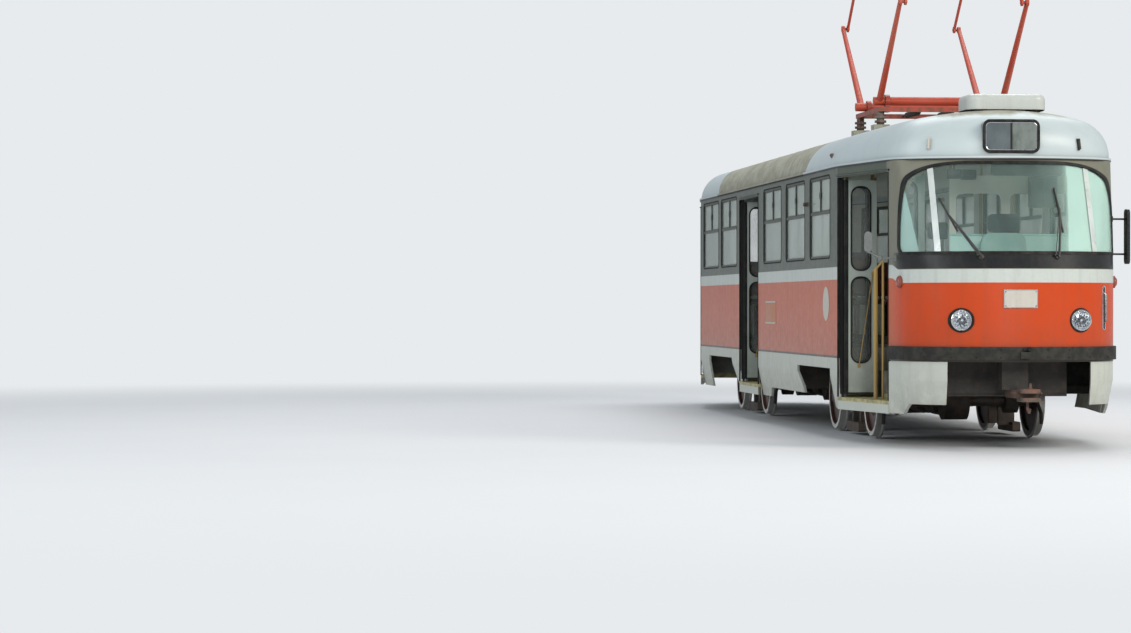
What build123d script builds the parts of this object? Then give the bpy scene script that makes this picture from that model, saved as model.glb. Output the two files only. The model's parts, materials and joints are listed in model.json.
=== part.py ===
from build123d import *
import math
import os

# A four-axle single tram with three folding doors on its right side, at full size in millimetres.
# +X points to the front, +Y to the left side, +Z up. The origin is at the middle of the tram,
# level with the lowest point of the wheel flanges.

# Heights: the flanges hang below the rail head, and every height of the body is over the rail
flange_height = 22.0


def over_rail(height):
    """Height of something that is so far over the rail head."""
    return flange_height + height


# Body shell
half_width = 1250.0
taper_start_x = 4700.0
taper_angle = 9.3
nose_x = 6990.0
nose_radius = 1275.0
nose_corner_radius = 700.0
brow_x = 6500.0
brow_radius = 1700.0
brow_corner_radius = 170.0
roof_corner_radius = 480.0
roof_bend_radius = 3000.0
wall = 50.0
skirt_top_z = over_rail(770.0)
lean_start_z = over_rail(1600.0)
roof_base_z = over_rail(2590.0)
roof_top_z = over_rail(3050.0)
roof_edge_radius = 350.0
roof_crown_radius = 4000.0
roof_thickness = 45.0
gutter_reach = 20.0
gutter_height = 28.0
roof_form_reach = 50.0
roof_cut_reach = 10.0
end_joint_x = 6050.0
# How far a cutting form reaches past what it cuts
cut_margin = 20.0
floor_top_z = over_rail(900.0)
floor_thickness = 30.0
seat_gap = 0.3

# Doorways: name, station of the middle on the side, and turn of the wall there
doorway_width = 1368.0
doorway_top_z = over_rail(2490.0)
sill_top_z = over_rail(400.0)
sill_bottom_z = over_rail(285.0)
second_step_z = over_rail(650.0)
first_tread_depth = 430.0
second_tread_depth = 270.0
step_plate = 30.0
step_gap = 1.0
cheek_inset = 100.0
middle_door_x = -800.0
end_door_along = doorway_width / 2 + 3.0

# Door leaves
leaf_thickness = 35.0
leaf_inset = 40.0
leaf_bottom_z = sill_top_z + 30.0
leaf_top_z = doorway_top_z - 25.0
jamb_to_axis = 34.0
axis_to_edge = 22.0
leaf_knuckle_reach = 8.0
leaf_pair_gap = 8.0
door_meeting_gap = 16.0
leaf_window_width = 190.0
leaf_window_corner = 80.0
leaf_pane_heights = [(over_rail(1610.0), over_rail(2400.0)), (over_rail(730.0), over_rail(1540.0))]
fold_ear_radius = 7.0
fold_pin_radius = 4.0
hinge_inset = 120.0
hinge_height = 80.0
ear_margin = 6.0
ear_height = 60.0
ear_gap = 5.0
pivot_post_radius = 9.0
pin_clearance = 0.4
leaf_run = (doorway_width / 2 - jamb_to_axis - leaf_pair_gap - door_meeting_gap / 2) / 2
fold_offset = leaf_thickness / 2 + leaf_knuckle_reach

# Side windows: station of the middle and width, on each side
window_bottom_z = over_rail(1730.0)
window_top_z = over_rail(2540.0)
window_corner = 55.0
vent_bar_z = over_rail(2180.0)
vent_bar_height = 28.0
vent_post_width = 30.0
window_bar = 28.0
window_edge_gap = 0.5
window_frame_recess = 4.0
window_frame_depth = 34.0
pane_recess = 14.0
pane_thickness = 6.0
left_windows = [(-3800.0, 1300.0), (-2320.0, 1250.0), (-820.0, 1250.0), (845.0, 1180.0),
                (2305.0, 1150.0), (3740.0, 1120.0)]
right_windows = [(-3800.0, 1300.0), (-2320.0, 1250.0), (845.0, 1180.0), (2305.0, 1150.0), (3740.0, 1120.0)]
taper_window_along = 640.0
taper_window_width = 1050.0

# Windscreens
screen_rear_x = 6290.0
screen_bottom_z = over_rail(1740.0)
screen_top_z = over_rail(2560.0)
screen_low_corner = 90.0
screen_high_corner = 190.0
screen_recess = 10.0
screen_thickness = 8.0
screen_edge_gap = 1.0
seam_y = 715.0
seam_gap = 12.0
mullion_width = 36.0
mullion_lap = 20.0
screen_tool_reach = 200.0
seal_reach = 14.0
seal_height = 5.0
strip_width = 50.0
strip_height = 4.0

# Route box in the brow
route_box_width = 510.0
route_box_bottom_z = over_rail(2650.0)
route_box_top_z = over_rail(2940.0)
route_box_corner = 55.0
route_box_depth = 310.0
route_box_proud = 10.0

# Round lamps of both ends: a housing behind a bezel, and a domed lens in it
lamp_y = 540.0
lamp_z = over_rail(1140.0)
lamp_radius = 95.0
lamp_depth = 90.0
bezel_proud = 26.0
bezel_width = 15.0
bezel_round = 6.0
bezel_step = 9.0
lens_proud = 33.0

# Roof gear: the pads that carry it and the vent unit over the cab
roof_pad_z = over_rail(3062.0)
pad_sink = 130.0
vent_front_x = 6120.0
vent_rear_x = 5640.0
vent_y = 60.0
vent_half_width = 370.0
vent_top_z = over_rail(3205.0)
vent_corner = 110.0
vent_top_edge = 55.0
vent_pad_inset = 130.0
vent_pad_y = 250.0

# Bogies and wheels
bogie_x = 3200.0
half_wheelbase = 950.0
wheel_radius = 350.0
wheel_inner_y = 737.0
wheel_outer_y = 822.0
flange_thickness = 26.0
# Section of a wheel: hub, dished web, rim, flange and tread
hub_radius = 95.0
hub_inner_reach = 10.0
hub_outer_reach = 12.0
hub_draft = 8.0
hub_web_inset = 30.0
web_inner_inset = 24.0
web_outer_inset = 52.0
web_dish_inset = 58.0
web_dish_reach = 60.0
rim_inner_depth = 50.0
rim_inner_draft = 5.0
rim_outer_depth = 52.0
rim_outer_draft = 8.0
rim_edge = 4.0
flange_back_drop = 6.0
flange_tip_inset = 8.0
flange_face_drop = 4.0
flange_face_inset = 6.0
flange_root_rise = 2.0
flange_root_inset = 4.0
wheel_bore_gap = 0.2
axle_radius = 60.0
axle_z = over_rail(wheel_radius)
axle_end_reach = 18.0
beam_y = 560.0
beam_width = 110.0
beam_top_z = axle_z + 80.0
beam_bottom_z = axle_z - 75.0
beam_end_reach = 60.0
bearing_radius = 125.0
bearing_proud = 8.0
transom_width = 65.0
transom_half_height = 60.0
bolster_half_length = 140.0
bolster_half_width = 690.0
bolster_corner = 40.0
bolster_bottom_z = over_rail(530.0)
bolster_top_z = over_rail(700.0)
pivot_pin_radius = 70.0
pivot_pin_lift = 30.0
pivot_clearance = 0.5
centre_plate_radius = 230.0
spring_radius = 75.0
motor_radius = 165.0
motor_start = 205.0
motor_end = 660.0
motor_shaft_radius = 60.0
gear_case_radius = 190.0
gear_case_half_width = 120.0
brake_half_length = 320.0
brake_width = 80.0
brake_bottom_z = over_rail(14.0)
brake_top_z = over_rail(110.0)
brake_y = (wheel_inner_y + wheel_outer_y) / 2
brake_nose = 18.0
bracket_x = 200.0
bracket_half_width = 25.0
bracket_overlap = 30.0
bracket_height = 60.0

# Underframe
frame_bottom_z = over_rail(790.0)
frame_top_z = floor_top_z - floor_thickness
sill_y = 470.0
sill_width = 90.0
end_sill_y = 240.0
end_sill_start_x = 4480.0
end_bearer_x = 6600.0
bearer_half = 50.0
bearer_end_y = 1150.0
end_bearer_end_y = 600.0
bolster_beam_half = 160.0
# Cross bearers from the rear: station, half length, right end and left end
bearers = [
    (-end_bearer_x, bearer_half, -end_bearer_end_y, end_bearer_end_y),
    (-end_sill_start_x, bearer_half, -bearer_end_y, bearer_end_y),
    (-bogie_x, bolster_beam_half, -bearer_end_y, bearer_end_y),
    (-1650.0, bearer_half, -bearer_end_y, bearer_end_y),
    (middle_door_x, bearer_half, -sill_y - sill_width / 2, bearer_end_y),
    (60.0, bearer_half, -bearer_end_y, bearer_end_y),
    (1600.0, bearer_half, -bearer_end_y, bearer_end_y),
    (bogie_x, bolster_beam_half, -bearer_end_y, bearer_end_y),
    (end_sill_start_x, bearer_half, -bearer_end_y, bearer_end_y),
    (end_bearer_x, bearer_half, -end_bearer_end_y, end_bearer_end_y),
]
jack_pad_stations = [1600.0, -1650.0]
jack_pad_y = 1070.0
jack_pad_half_length = 45.0
jack_pad_half_width = 60.0
jack_pad_depth = 20.0
# Guard plate behind each coupler, with a bar along its lower edge
guard_x = 6300.0
guard_thickness = 8.0
guard_right_y = -600.0
guard_left_y = 560.0
guard_bar_z = over_rail(462.0)
guard_bar_radius = 14.0
# Closed boxes of the traction gear: rear, front, right, left and bottom
equipment = [
    (-1100.0, 1300.0, 250.0, 1120.0, over_rail(370.0)),
    (40.0, 1450.0, -1120.0, -520.0, over_rail(400.0)),
]

# Skirts: how far their skin is pulled in at each height
skirt_section = [(skirt_top_z - seat_gap, 0.0), (over_rail(600.0), 0.0), (over_rail(390.0), 40.0),
                 (over_rail(280.0), 62.0)]
skirt_thickness = 25.0
low = over_rail(285.0)
mid = over_rail(385.0)
arch = over_rail(665.0)
panel_gap = 3.0
skirt_end_x = taper_start_x - 8.0
end_panel_length = doorway_width - 20.0
door_front_x = middle_door_x + doorway_width / 2 + 1.0
door_rear_x = middle_door_x - doorway_width / 2 - 1.0
# Lower edge of each skirt panel, from rear to front, as station and height
panels_of_both_sides = [
    [(-skirt_end_x, low), (-4000.0, low), (-3950.0, arch)],
    [(-3950.0 + panel_gap, arch), (-2110.0 - panel_gap, arch)],
    [(560.0, mid), (2030.0, mid)],
    [(2030.0 + panel_gap, mid), (2650.0, mid), (2650.0, over_rail(450.0)), (2430.0, over_rail(610.0))],
    [(2430.0 + panel_gap, arch), (4300.0 - panel_gap, arch)],
    [(4300.0, low), (skirt_end_x, low)],
]
right_panels = [
    [(-2110.0, arch), (-1700.0, low), (door_rear_x, low)],
    [(door_front_x, low), (420.0, low), (560.0 - panel_gap, mid)],
]
left_panels = [
    [(-2110.0, arch), (-1700.0, mid), (-900.0 - panel_gap, mid)],
    [(-900.0, mid), (560.0 - panel_gap, mid)],
]
end_skirt_inset = 4.0
end_skirt_rear_x = end_joint_x + 40.0
end_skirt_half_gap = 650.0
end_skirt_bottom_z = over_rail(290.0)
end_skirt_foot = 170.0
end_skirt_slope_end = 330.0

# Bumper band and towing lug
bumper_bottom_z = over_rail(785.0)
bumper_top_z = over_rail(905.0)
bumper_proud = 26.0
lug_reach = 62.0
lug_half_width = 45.0
lug_bottom_z = over_rail(800.0)
lug_top_z = over_rail(860.0)
lug_root = 10.0
lug_bore_radius = 14.0
lug_bore_inset = 20.0

# Pantograph
pantograph_x = 3100.0
arm_length = 1350.0
arm_angle = 41.2
base_half_spacing = 470.0
arm_y = 620.0
pivot_z = over_rail(3300.0)
shaft_radius = 43.0
lower_arm_foot_radius = 34.0
lower_arm_knee_radius = 22.0
lower_shaft_overhang = 60.0
upper_arm_radius = 15.0
upper_arm_y = arm_y - 50.0
upper_shaft_radius = 18.0
upper_shaft_overhang = 30.0
brace_radius = 11.0
brace_share = 0.42
knuckle_radius = 34.0
knuckle_pin_radius = 9.0
lower_eye_half = 15.0
upper_eye_half = 10.0
knuckle_gap = 1.0
pin_head_radius = 16.0
pin_head_thickness = 6.0
head_bar_y = 530.0
head_bar_half = 12.0
head_bar_half_height = 35.0
head_bar_overhang = 20.0
head_eye_radius = 40.0
strip_spacing = 205.0
contact_half_width = 22.0
contact_lift = 130.0
contact_depth = 30.0
carrier_half = 15.0
head_half_length = 800.0
horn_reach = 180.0
horn_drop = 150.0
horn_tip_inset = 15.0
horn_tip_drop = 22.0
horn_bend_inset = 12.0
base_bottom_z = over_rail(3190.0)
base_top_z = over_rail(3235.0)
base_half_length = 620.0
base_cross_x = 560.0
base_bar_half = 30.0
bearing_y = arm_y - 75.0
bearing_half = 22.0
bearing_wall = 22.0
bearing_foot_half = 50.0
insulator_x = 520.0
insulator_radius = 38.0
shed_radius = 58.0
shed_height = 22.0
shed_levels = [0.25, 0.6]

# Pads on the roof: station, place across, half length and half width
roof_pads = [(pantograph_x + end * insulator_x, hand * arm_y, 80.0, 80.0) for end in (1, -1) for hand in (1, -1)]
roof_pads += [(x, vent_y + hand * vent_pad_y, 50.0, 40.0)
              for x in (vent_front_x - vent_pad_inset, vent_rear_x + vent_pad_inset) for hand in (1, -1)]

# Coupler
coupler_z = over_rail(480.0)
coupler_root_length = 180.0
coupler_root_x = end_bearer_x - coupler_root_length
coupler_proud = 280.0
coupler_reach_x = nose_x + coupler_proud
coupler_pin_radius = 16.0
coupler_pin_inset = 58.0
drawbar_half = 36.0
head_length = 220.0
head_half_width = 85.0
head_half_height = 56.0
head_corner = 55.0
head_slot_half = 20.0
head_slot_depth = 115.0
hanger_length = 100.0
hanger_rear_x = end_bearer_x - hanger_length
hanger_half_width = 120.0

# Mirrors
mirror_foot_along = 1550.0
mirror_foot_half = 25.0
mirror_foot_plate = 9.0
mirror_arm_radius = 9.0
mirror_elbow = (6200.0, -1130.0, over_rail(1700.0))
mirror_tip = (6110.0, -1225.0, over_rail(1760.0))
mirror_size = (30.0, 70.0, 180.0)
mirror_corner = 30.0
mirror_turn = -12.0
slim_mirror_x = 6200.0
slim_mirror_y = 1150.0
slim_mirror_z = over_rail(1900.0)
slim_mirror_size = (120.0, 26.0, 500.0)
slim_mirror_corner = 40.0
slim_mirror_feet = [over_rail(1740.0), over_rail(2060.0)]

# Seats, desk, partition and handrails
seat_length = 400.0
seat_half_width = 210.0
cushion_z = 400.0
cushion_thickness = 50.0
back_thickness = 40.0
back_top = 900.0
seat_edge = 18.0
seat_leg_half = 60.0
seat_from_wall = 290.0
seat_rows_left = [-5300.0, -4500.0, -3700.0, -2900.0, -2100.0, -1300.0, -500.0, 300.0, 1100.0, 1900.0,
                  2700.0, 3500.0, 4300.0]
seat_rows_right = [-4000.0, -3200.0, -2400.0, 700.0, 1500.0, 2300.0, 3100.0, 3900.0]
driver_x = 5600.0
driver_y = 200.0
driver_back_x = driver_x - 220.0
driver_edge = 28.0
# Driver's seat: length, width and thickness of each pad, and the height of its middle over the floor
driver_cushion = (480.0, 480.0, 110.0)
driver_cushion_z = 480.0
driver_back = (90.0, 460.0, 620.0)
driver_back_z = 760.0
driver_rest = (80.0, 280.0, 180.0)
driver_rest_z = 1140.0
driver_rest_post = (20.0, 120.0, 100.0)
driver_rest_post_z = 1050.0
driver_column_radius = 60.0
driver_column_height = 430.0
desk_rear_x = 6220.0
desk_front_x = 6780.0
desk_right_y = -620.0
desk_left_y = 800.0
desk_height = 690.0
desk_rear_drop = 150.0
desk_shelf = 110.0
desk_lip = 40.0
desk_front_slope = 60.0
desk_wall_gap = 20.0
partition_x = 5080.0
partition_half = 15.0
partition_wall_gap = 70.0
partition_pane_corner = 60.0
partition_right_y = -250.0
partition_top_z = over_rail(2500.0)
partition_panes = [(-190.0, 250.0), (330.0, 1010.0)]
partition_pane_z = over_rail(2020.0)
partition_pane_height = 620.0
stanchion_stations = [-4300.0, -2600.0, -1500.0, 60.0, 1500.0, 2900.0, 4300.0]
stanchion_y = 560.0
stanchion_radius = 17.0
stanchion_top_z = over_rail(2800.0)
pole_inset = 130.0
pole_radius = 19.0
pole_top_z = over_rail(1610.0)
thin_pole_x = 30.0
thin_pole_inset = 190.0
thin_pole_radius = 11.0
thin_pole_top_z = over_rail(1685.0)


def box(x0, x1, y0, y1, z0, z1):
    """Block between two corners."""
    return Pos((x0 + x1) / 2, (y0 + y1) / 2, (z0 + z1) / 2) * Box(abs(x1 - x0), abs(y1 - y0), abs(z1 - z0))


def rod(start, end, radius):
    """Round bar from one point to another."""
    start = Vector(*start)
    run = Vector(*end) - start
    return extrude(Plane(origin=start, z_dir=run.normalized()) * Circle(radius), run.length)


def group(solids):
    """Several solids kept as one sub-part."""
    found = []
    for item in solids:
        found.extend(item.solids())
    return Compound(children=found) if len(found) > 1 else found[0]


def both_ends(solid):
    """A piece at the front and its twin turned round to the rear."""
    return [solid, Rot(0, 0, 180) * solid]


def write(name, solids):
    """One STEP file for each sub-part."""
    export_step(group(solids), "parts/" + name + ".step")


# Plan of the body: straight sides, tapered ends and a rounded nose


def plan(tip_x, tip_radius, corner_radius, grow=0.0):
    """Outline from above, as a face at the origin, grown outwards by a margin."""
    slope = math.tan(math.radians(taper_angle))
    side = half_width + grow
    start = taper_start_x + grow * math.tan(math.radians(taper_angle / 2))
    tip = tip_x + grow
    radius = tip_radius + grow
    centre = tip - radius
    reach = side + slope * start
    a = 1 + slope * slope
    b = -2 * (centre + reach * slope)
    c = centre * centre + reach * reach - radius * radius
    corner_x = (-b + math.sqrt(b * b - 4 * a * c)) / (2 * a)
    corner_y = reach - slope * corner_x
    edges = [
        Line((-start, -side), (start, -side)),
        Line((start, -side), (corner_x, -corner_y)),
        ThreePointArc((corner_x, -corner_y), (tip, 0), (corner_x, corner_y)),
        Line((corner_x, corner_y), (start, side)),
        Line((start, side), (-start, side)),
        Line((-start, side), (-corner_x, corner_y)),
        ThreePointArc((-corner_x, corner_y), (-tip, 0), (-corner_x, -corner_y)),
        Line((-corner_x, -corner_y), (-start, -side)),
    ]
    face = make_face(edges).face()
    corners = [v for v in face.vertices() if abs(abs(v.X) - corner_x) < 1]
    return face.fillet_2d(corner_radius + grow, corners)


def prism(face, z0, z1):
    """Upright solid on a plan face."""
    return extrude(Pos(0, 0, z0) * face, z1 - z0, dir=(0, 0, 1))


def body_solid(z0, z1, grow=0.0):
    """Upright part of the body, up to where its ends start to lean."""
    return prism(plan(nose_x, nose_radius, nose_corner_radius, grow), z0, z1)


def leaning_solid(grow=0.0):
    """Window band of the body, whose ends lean back to the brow."""
    low = Pos(0, 0, lean_start_z) * plan(nose_x, nose_radius, nose_corner_radius, grow)
    high = Pos(0, 0, roof_base_z) * plan(brow_x, brow_radius, brow_corner_radius, grow)
    return loft([low, high], ruled=True)


def side_prism(sketch, y0, y1):
    """Solid whose outline is seen from the side, between two planes of Y."""
    return Pos(0, y1, 0) * extrude(Plane.XZ * sketch, y1 - y0)


def wall_frame(side, station):
    """Place on the outer skin. Local X runs along the wall, local Y points inwards on the right side
    and outwards on the left."""
    run = abs(station) - taper_start_x
    if run <= 0:
        return Pos(station, side * half_width, 0)
    end = 1 if station > 0 else -1
    return (Pos(end * taper_start_x, side * half_width, 0) * Rot(0, 0, -side * end * taper_angle)
            * Pos(end * run, 0, 0))


def window_places():
    """Each side window: side, place on the skin and width."""
    places = []
    for middle, width in left_windows:
        places.append((1, wall_frame(1, middle), width))
    for end in (1, -1):
        places.append((1, wall_frame(1, end * (taper_start_x + taper_window_along)), taper_window_width))
    for middle, width in right_windows:
        places.append((-1, wall_frame(-1, middle), width))
    return places


def window_block(width, margin, depth_from, depth_to, side):
    """Rounded window form in the skin's own place, between two depths from the skin."""
    height = window_top_z - window_bottom_z
    outline = Pos(0, (window_top_z + window_bottom_z) / 2) * RectangleRounded(
        width + 2 * margin, height + 2 * margin, window_corner + margin)
    low, high = sorted((-side * depth_from, -side * depth_to))
    return side_prism(outline, low, high)


def doorway_frames():
    """Each doorway's place on the skin, from the front door to the rear one."""
    return [
        wall_frame(-1, taper_start_x + end_door_along),
        wall_frame(-1, middle_door_x),
        wall_frame(-1, -taper_start_x - end_door_along),
    ]


def make_shell():
    """Thin-walled body without its roof, before the openings."""
    upright = body_solid(skirt_top_z, lean_start_z) - body_solid(skirt_top_z, lean_start_z, -wall)
    leaning = leaning_solid() - leaning_solid(-wall)
    return upright, leaning


def make_side(side, upright, leaning):
    """Side wall with its window openings and, on the right, the doorways."""
    sign_low, sign_high = (0, half_width + cut_margin) if side > 0 else (-half_width - cut_margin, 0)
    zone = box(-end_joint_x, end_joint_x, sign_low, sign_high, skirt_top_z, roof_base_z)
    panel = (upright & zone) + (leaning & zone)
    for where, place, width in window_places():
        if where == side:
            panel -= place * window_block(width, 0, -cut_margin, wall + cut_margin, side)
    if side < 0:
        for place in doorway_frames():
            panel -= place * box(-doorway_width / 2, doorway_width / 2, -cut_margin, wall + 3 * cut_margin,
                                 skirt_top_z - cut_margin, doorway_top_z)
    return panel


def screen_tool(margin):
    """Space of the wrapped windscreen, seen from the side."""
    front = nose_x + screen_tool_reach
    outline = Pos((screen_rear_x + margin + front) / 2, (screen_bottom_z + screen_top_z) / 2) * Rectangle(
        front - screen_rear_x - margin, screen_top_z - screen_bottom_z - 2 * margin)
    solid = side_prism(outline, -half_width, half_width)
    rear = solid.edges().filter_by(Axis.Y).group_by(Axis.X)[0].sort_by(Axis.Z)
    solid = fillet(rear[0], screen_low_corner - margin)
    rear = solid.edges().filter_by(Axis.Y).sort_by(Axis.Z)
    top_rear = [e for e in rear
                if e.center().Z > screen_top_z - margin - 1 and e.center().X < front - screen_tool_reach / 2]
    return fillet(top_rear[0], screen_high_corner - margin)


def make_end(upright, leaning):
    """Front end: apron, windscreen frame and two mullions."""
    zone = box(end_joint_x, nose_x + cut_margin, -half_width, half_width, skirt_top_z, roof_base_z)
    panel = (upright & zone) + ((leaning & zone) - screen_tool(0))
    for hand in (1, -1):
        panel -= rod((screen_rear_x, hand * lamp_y, lamp_z), (nose_x, hand * lamp_y, lamp_z),
                     lamp_radius + seat_gap)
    mullions = []
    for hand in (1, -1):
        strip = box(end_joint_x, nose_x, hand * seam_y - mullion_width / 2, hand * seam_y + mullion_width / 2,
                    screen_bottom_z - mullion_lap, screen_top_z + mullion_lap)
        mullions.append(strip & (leaning_solid(-screen_recess - screen_thickness - seat_gap)
                                 - leaning_solid(-wall)))
    for strip in mullions:
        panel += strip
    return panel


def make_screens():
    """Windscreen of three panes."""
    glass = leaning_solid(-screen_recess) - leaning_solid(-screen_recess - screen_thickness)
    glass = glass & screen_tool(screen_edge_gap)
    for hand in (1, -1):
        glass -= box(end_joint_x, nose_x + cut_margin, hand * seam_y - seam_gap / 2,
                     hand * seam_y + seam_gap / 2, screen_bottom_z - cut_margin, screen_top_z + cut_margin)
    return glass


def make_screen_seals():
    """Rubber seal round the windscreen: a lip on the skin and a body that reaches down to the glass."""
    lip = leaning_solid(seal_height) - leaning_solid(seat_gap)
    lip = lip & (screen_tool(-seal_reach) - screen_tool(seal_reach))
    body = leaning_solid(seal_height / 2) - leaning_solid(seat_gap - screen_recess)
    body = body & (screen_tool(seat_gap) - screen_tool(seal_reach))
    return lip + body


def make_screen_strips():
    """Flat strips over the two joints of the windscreen."""
    under = seat_gap - screen_recess
    sheet = leaning_solid(under + strip_height) - leaning_solid(under)
    sheet = sheet & screen_tool(seal_reach + seat_gap)
    zones = [box(screen_rear_x, nose_x, hand * seam_y - strip_width / 2, hand * seam_y + strip_width / 2,
                 screen_bottom_z, screen_top_z) for hand in (1, -1)]
    return sheet & (zones[0] + zones[1])


def roof_plan(grow):
    """Outline of the roof, with softer corners and bends than the walls below."""
    face = plan(brow_x, brow_radius, roof_corner_radius, grow)
    bends = [v for v in face.vertices() if abs(abs(v.Y) - half_width - grow) < 1]
    return face.fillet_2d(roof_bend_radius, bends)


def vertical(edge):
    """Whether an edge stands upright."""
    return abs(edge.tangent_at(0.5).Z) > 0.95


def make_roof():
    """Arched roof with rounded ends, its gutter and the pads that carry the roof gear."""
    def dome(grow, base, lift):
        block = prism(roof_plan(grow), base, roof_top_z + roof_form_reach)
        crown = Pos(0, 0, roof_top_z - roof_crown_radius + lift) * Rot(0, 90, 0) * Cylinder(
            roof_crown_radius, 2 * nose_x)
        block = block & crown
        rim = [e for e in block.edges() if e.center().Z > roof_base_z + roof_form_reach and not vertical(e)]
        return fillet(rim, roof_edge_radius + min(grow, 0))
    shell = dome(0, roof_base_z, 0) - dome(-roof_thickness, roof_base_z - roof_cut_reach, -roof_thickness)
    rim = (prism(roof_plan(gutter_reach), roof_base_z, roof_base_z + gutter_height)
           - prism(roof_plan(-roof_thickness / 2), roof_base_z - roof_cut_reach,
                   roof_base_z + gutter_height + roof_cut_reach))
    roof = shell + rim
    for x, y, half_x, half_y in roof_pads:
        roof += box(x - half_x, x + half_x, y - half_y, y + half_y, roof_top_z - pad_sink, roof_pad_z)
    for recess in both_ends(make_destination_box(seat_gap)):
        roof -= recess
    return roof


def make_floor():
    """Floor plate, cut out at the step wells."""
    plate = body_solid(floor_top_z - floor_thickness, floor_top_z, -wall - seat_gap)
    for place in doorway_frames():
        plate -= place * box(-doorway_width / 2, doorway_width / 2, -cut_margin,
                             first_tread_depth + second_tread_depth, 0, roof_top_z)
    return plate


def make_steps(place):
    """Step well of one doorway: sill, two treads and their risers."""
    depth = [0.0, first_tread_depth, first_tread_depth + second_tread_depth]
    half = doorway_width / 2
    profile = Polyline(
        (0, sill_bottom_z), (0, sill_top_z), (depth[1], sill_top_z), (depth[1], second_step_z),
        (depth[2] - step_plate, second_step_z), (depth[2] - step_plate, floor_top_z),
        (depth[2], floor_top_z), (depth[2], second_step_z - step_plate),
        (depth[1] + step_plate, second_step_z - step_plate), (depth[1] + step_plate, sill_top_z - step_plate),
        (step_plate, sill_top_z - step_plate), (step_plate, sill_bottom_z), close=True)
    treads = extrude(Plane.YZ * make_face(profile), half, both=True)
    well = treads
    for hand in (1, -1):
        cheek = Polyline((cheek_inset, sill_top_z - step_plate), (depth[1] + step_plate, sill_top_z - step_plate),
                         (depth[2], second_step_z - step_plate), (depth[2], frame_top_z - step_gap),
                         (cheek_inset, frame_top_z - step_gap), close=True)
        plate = extrude(Plane.YZ * make_face(cheek), step_plate)
        well += Pos(half if hand > 0 else -half - step_plate, 0, 0) * plate
    return place * well


def skirt_band():
    """Skirt of the left side, as long as the tram, curved in at the bottom."""
    outside = [(-inset, z) for z, inset in skirt_section]
    inside = [(-inset - skirt_thickness, z) for z, inset in reversed(skirt_section)]
    section = make_face(Polyline(*outside, *inside, close=True))
    return Pos(-nose_x, 0, 0) * extrude(Plane.YZ * section, 2 * nose_x)


def skirt_panel(strip, lower_edge):
    """Panel of a skirt over its lower edge."""
    top = skirt_section[0][0]
    outline = [(lower_edge[0][0], top)] + lower_edge + [(lower_edge[-1][0], top)]
    return strip & side_prism(make_face(Polyline(*outline, close=True)), -half_width, half_width)


def make_skirts():
    """Skirts under the sides, in panels, with the bogie cut-outs."""
    left = skirt_band()
    right = mirror(left, about=Plane.XZ)
    pieces = []
    for side, strip, own in ((1, left, left_panels), (-1, right, right_panels)):
        place = wall_frame(side, 0)
        for lower_edge in panels_of_both_sides + own:
            pieces.append(place * skirt_panel(strip, lower_edge))
    for end in (1, -1):
        place = wall_frame(1, end * (taper_start_x + seat_gap))
        lower_edge = [(0, low), (end * end_panel_length, low)]
        pieces.append(place * skirt_panel(left, lower_edge))
    return pieces


def skirt_solid(grow):
    """Body below the walls as the skirts follow it, grown outwards by a margin."""
    solid = Part()
    for (z1, inset1), (z0, inset0) in zip(skirt_section, skirt_section[1:]):
        high = Pos(0, 0, z1) * plan(nose_x, nose_radius, nose_corner_radius, grow - inset1)
        below = Pos(0, 0, z0) * plan(nose_x, nose_radius, nose_corner_radius, grow - inset0)
        solid += loft([below, high], ruled=True)
    return solid


def make_end_skirts():
    """Corner skirts of one end, pulled in at the bottom and open in the middle for the coupler."""
    ring = skirt_solid(-end_skirt_inset) - skirt_solid(-end_skirt_inset - skirt_thickness)
    top = skirt_section[0][0]
    outline = Polyline((end_skirt_rear_x, top), (end_skirt_rear_x, end_skirt_bottom_z),
                       (end_skirt_rear_x + end_skirt_foot, end_skirt_bottom_z),
                       (end_skirt_rear_x + end_skirt_slope_end, mid),
                       (nose_x, mid), (nose_x, top), close=True)
    ring = ring & side_prism(make_face(outline), -half_width, half_width)
    return ring - box(end_joint_x, nose_x, -end_skirt_half_gap, end_skirt_half_gap, 0, roof_top_z)


def make_bumper():
    """Dark buffer band round one end, with a towing lug."""
    z0 = bumper_bottom_z
    z1 = bumper_top_z
    band = body_solid(z0, z1, bumper_proud) - body_solid(z0, z1, seat_gap)
    band = band & box(end_skirt_rear_x, nose_x + bumper_proud, -half_width, half_width, z0, z1)
    lug = box(nose_x, nose_x + lug_reach, -lug_half_width, lug_half_width, lug_bottom_z, lug_top_z)
    lug -= body_solid(z0, z1, lug_root)
    lug -= rod((nose_x + lug_reach - lug_bore_inset, 0, z0), (nose_x + lug_reach - lug_bore_inset, 0, z1),
               lug_bore_radius)
    return band + lug


def make_pivot(x):
    """Centre plate and pin under a bolster beam."""
    plate_bottom = bolster_top_z + seat_gap
    pin_bottom = bolster_bottom_z + pivot_pin_lift
    plate = rod((x, 0, plate_bottom), (x, 0, frame_bottom_z), centre_plate_radius)
    return plate + rod((x, 0, pin_bottom), (x, 0, frame_bottom_z), pivot_pin_radius)


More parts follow.
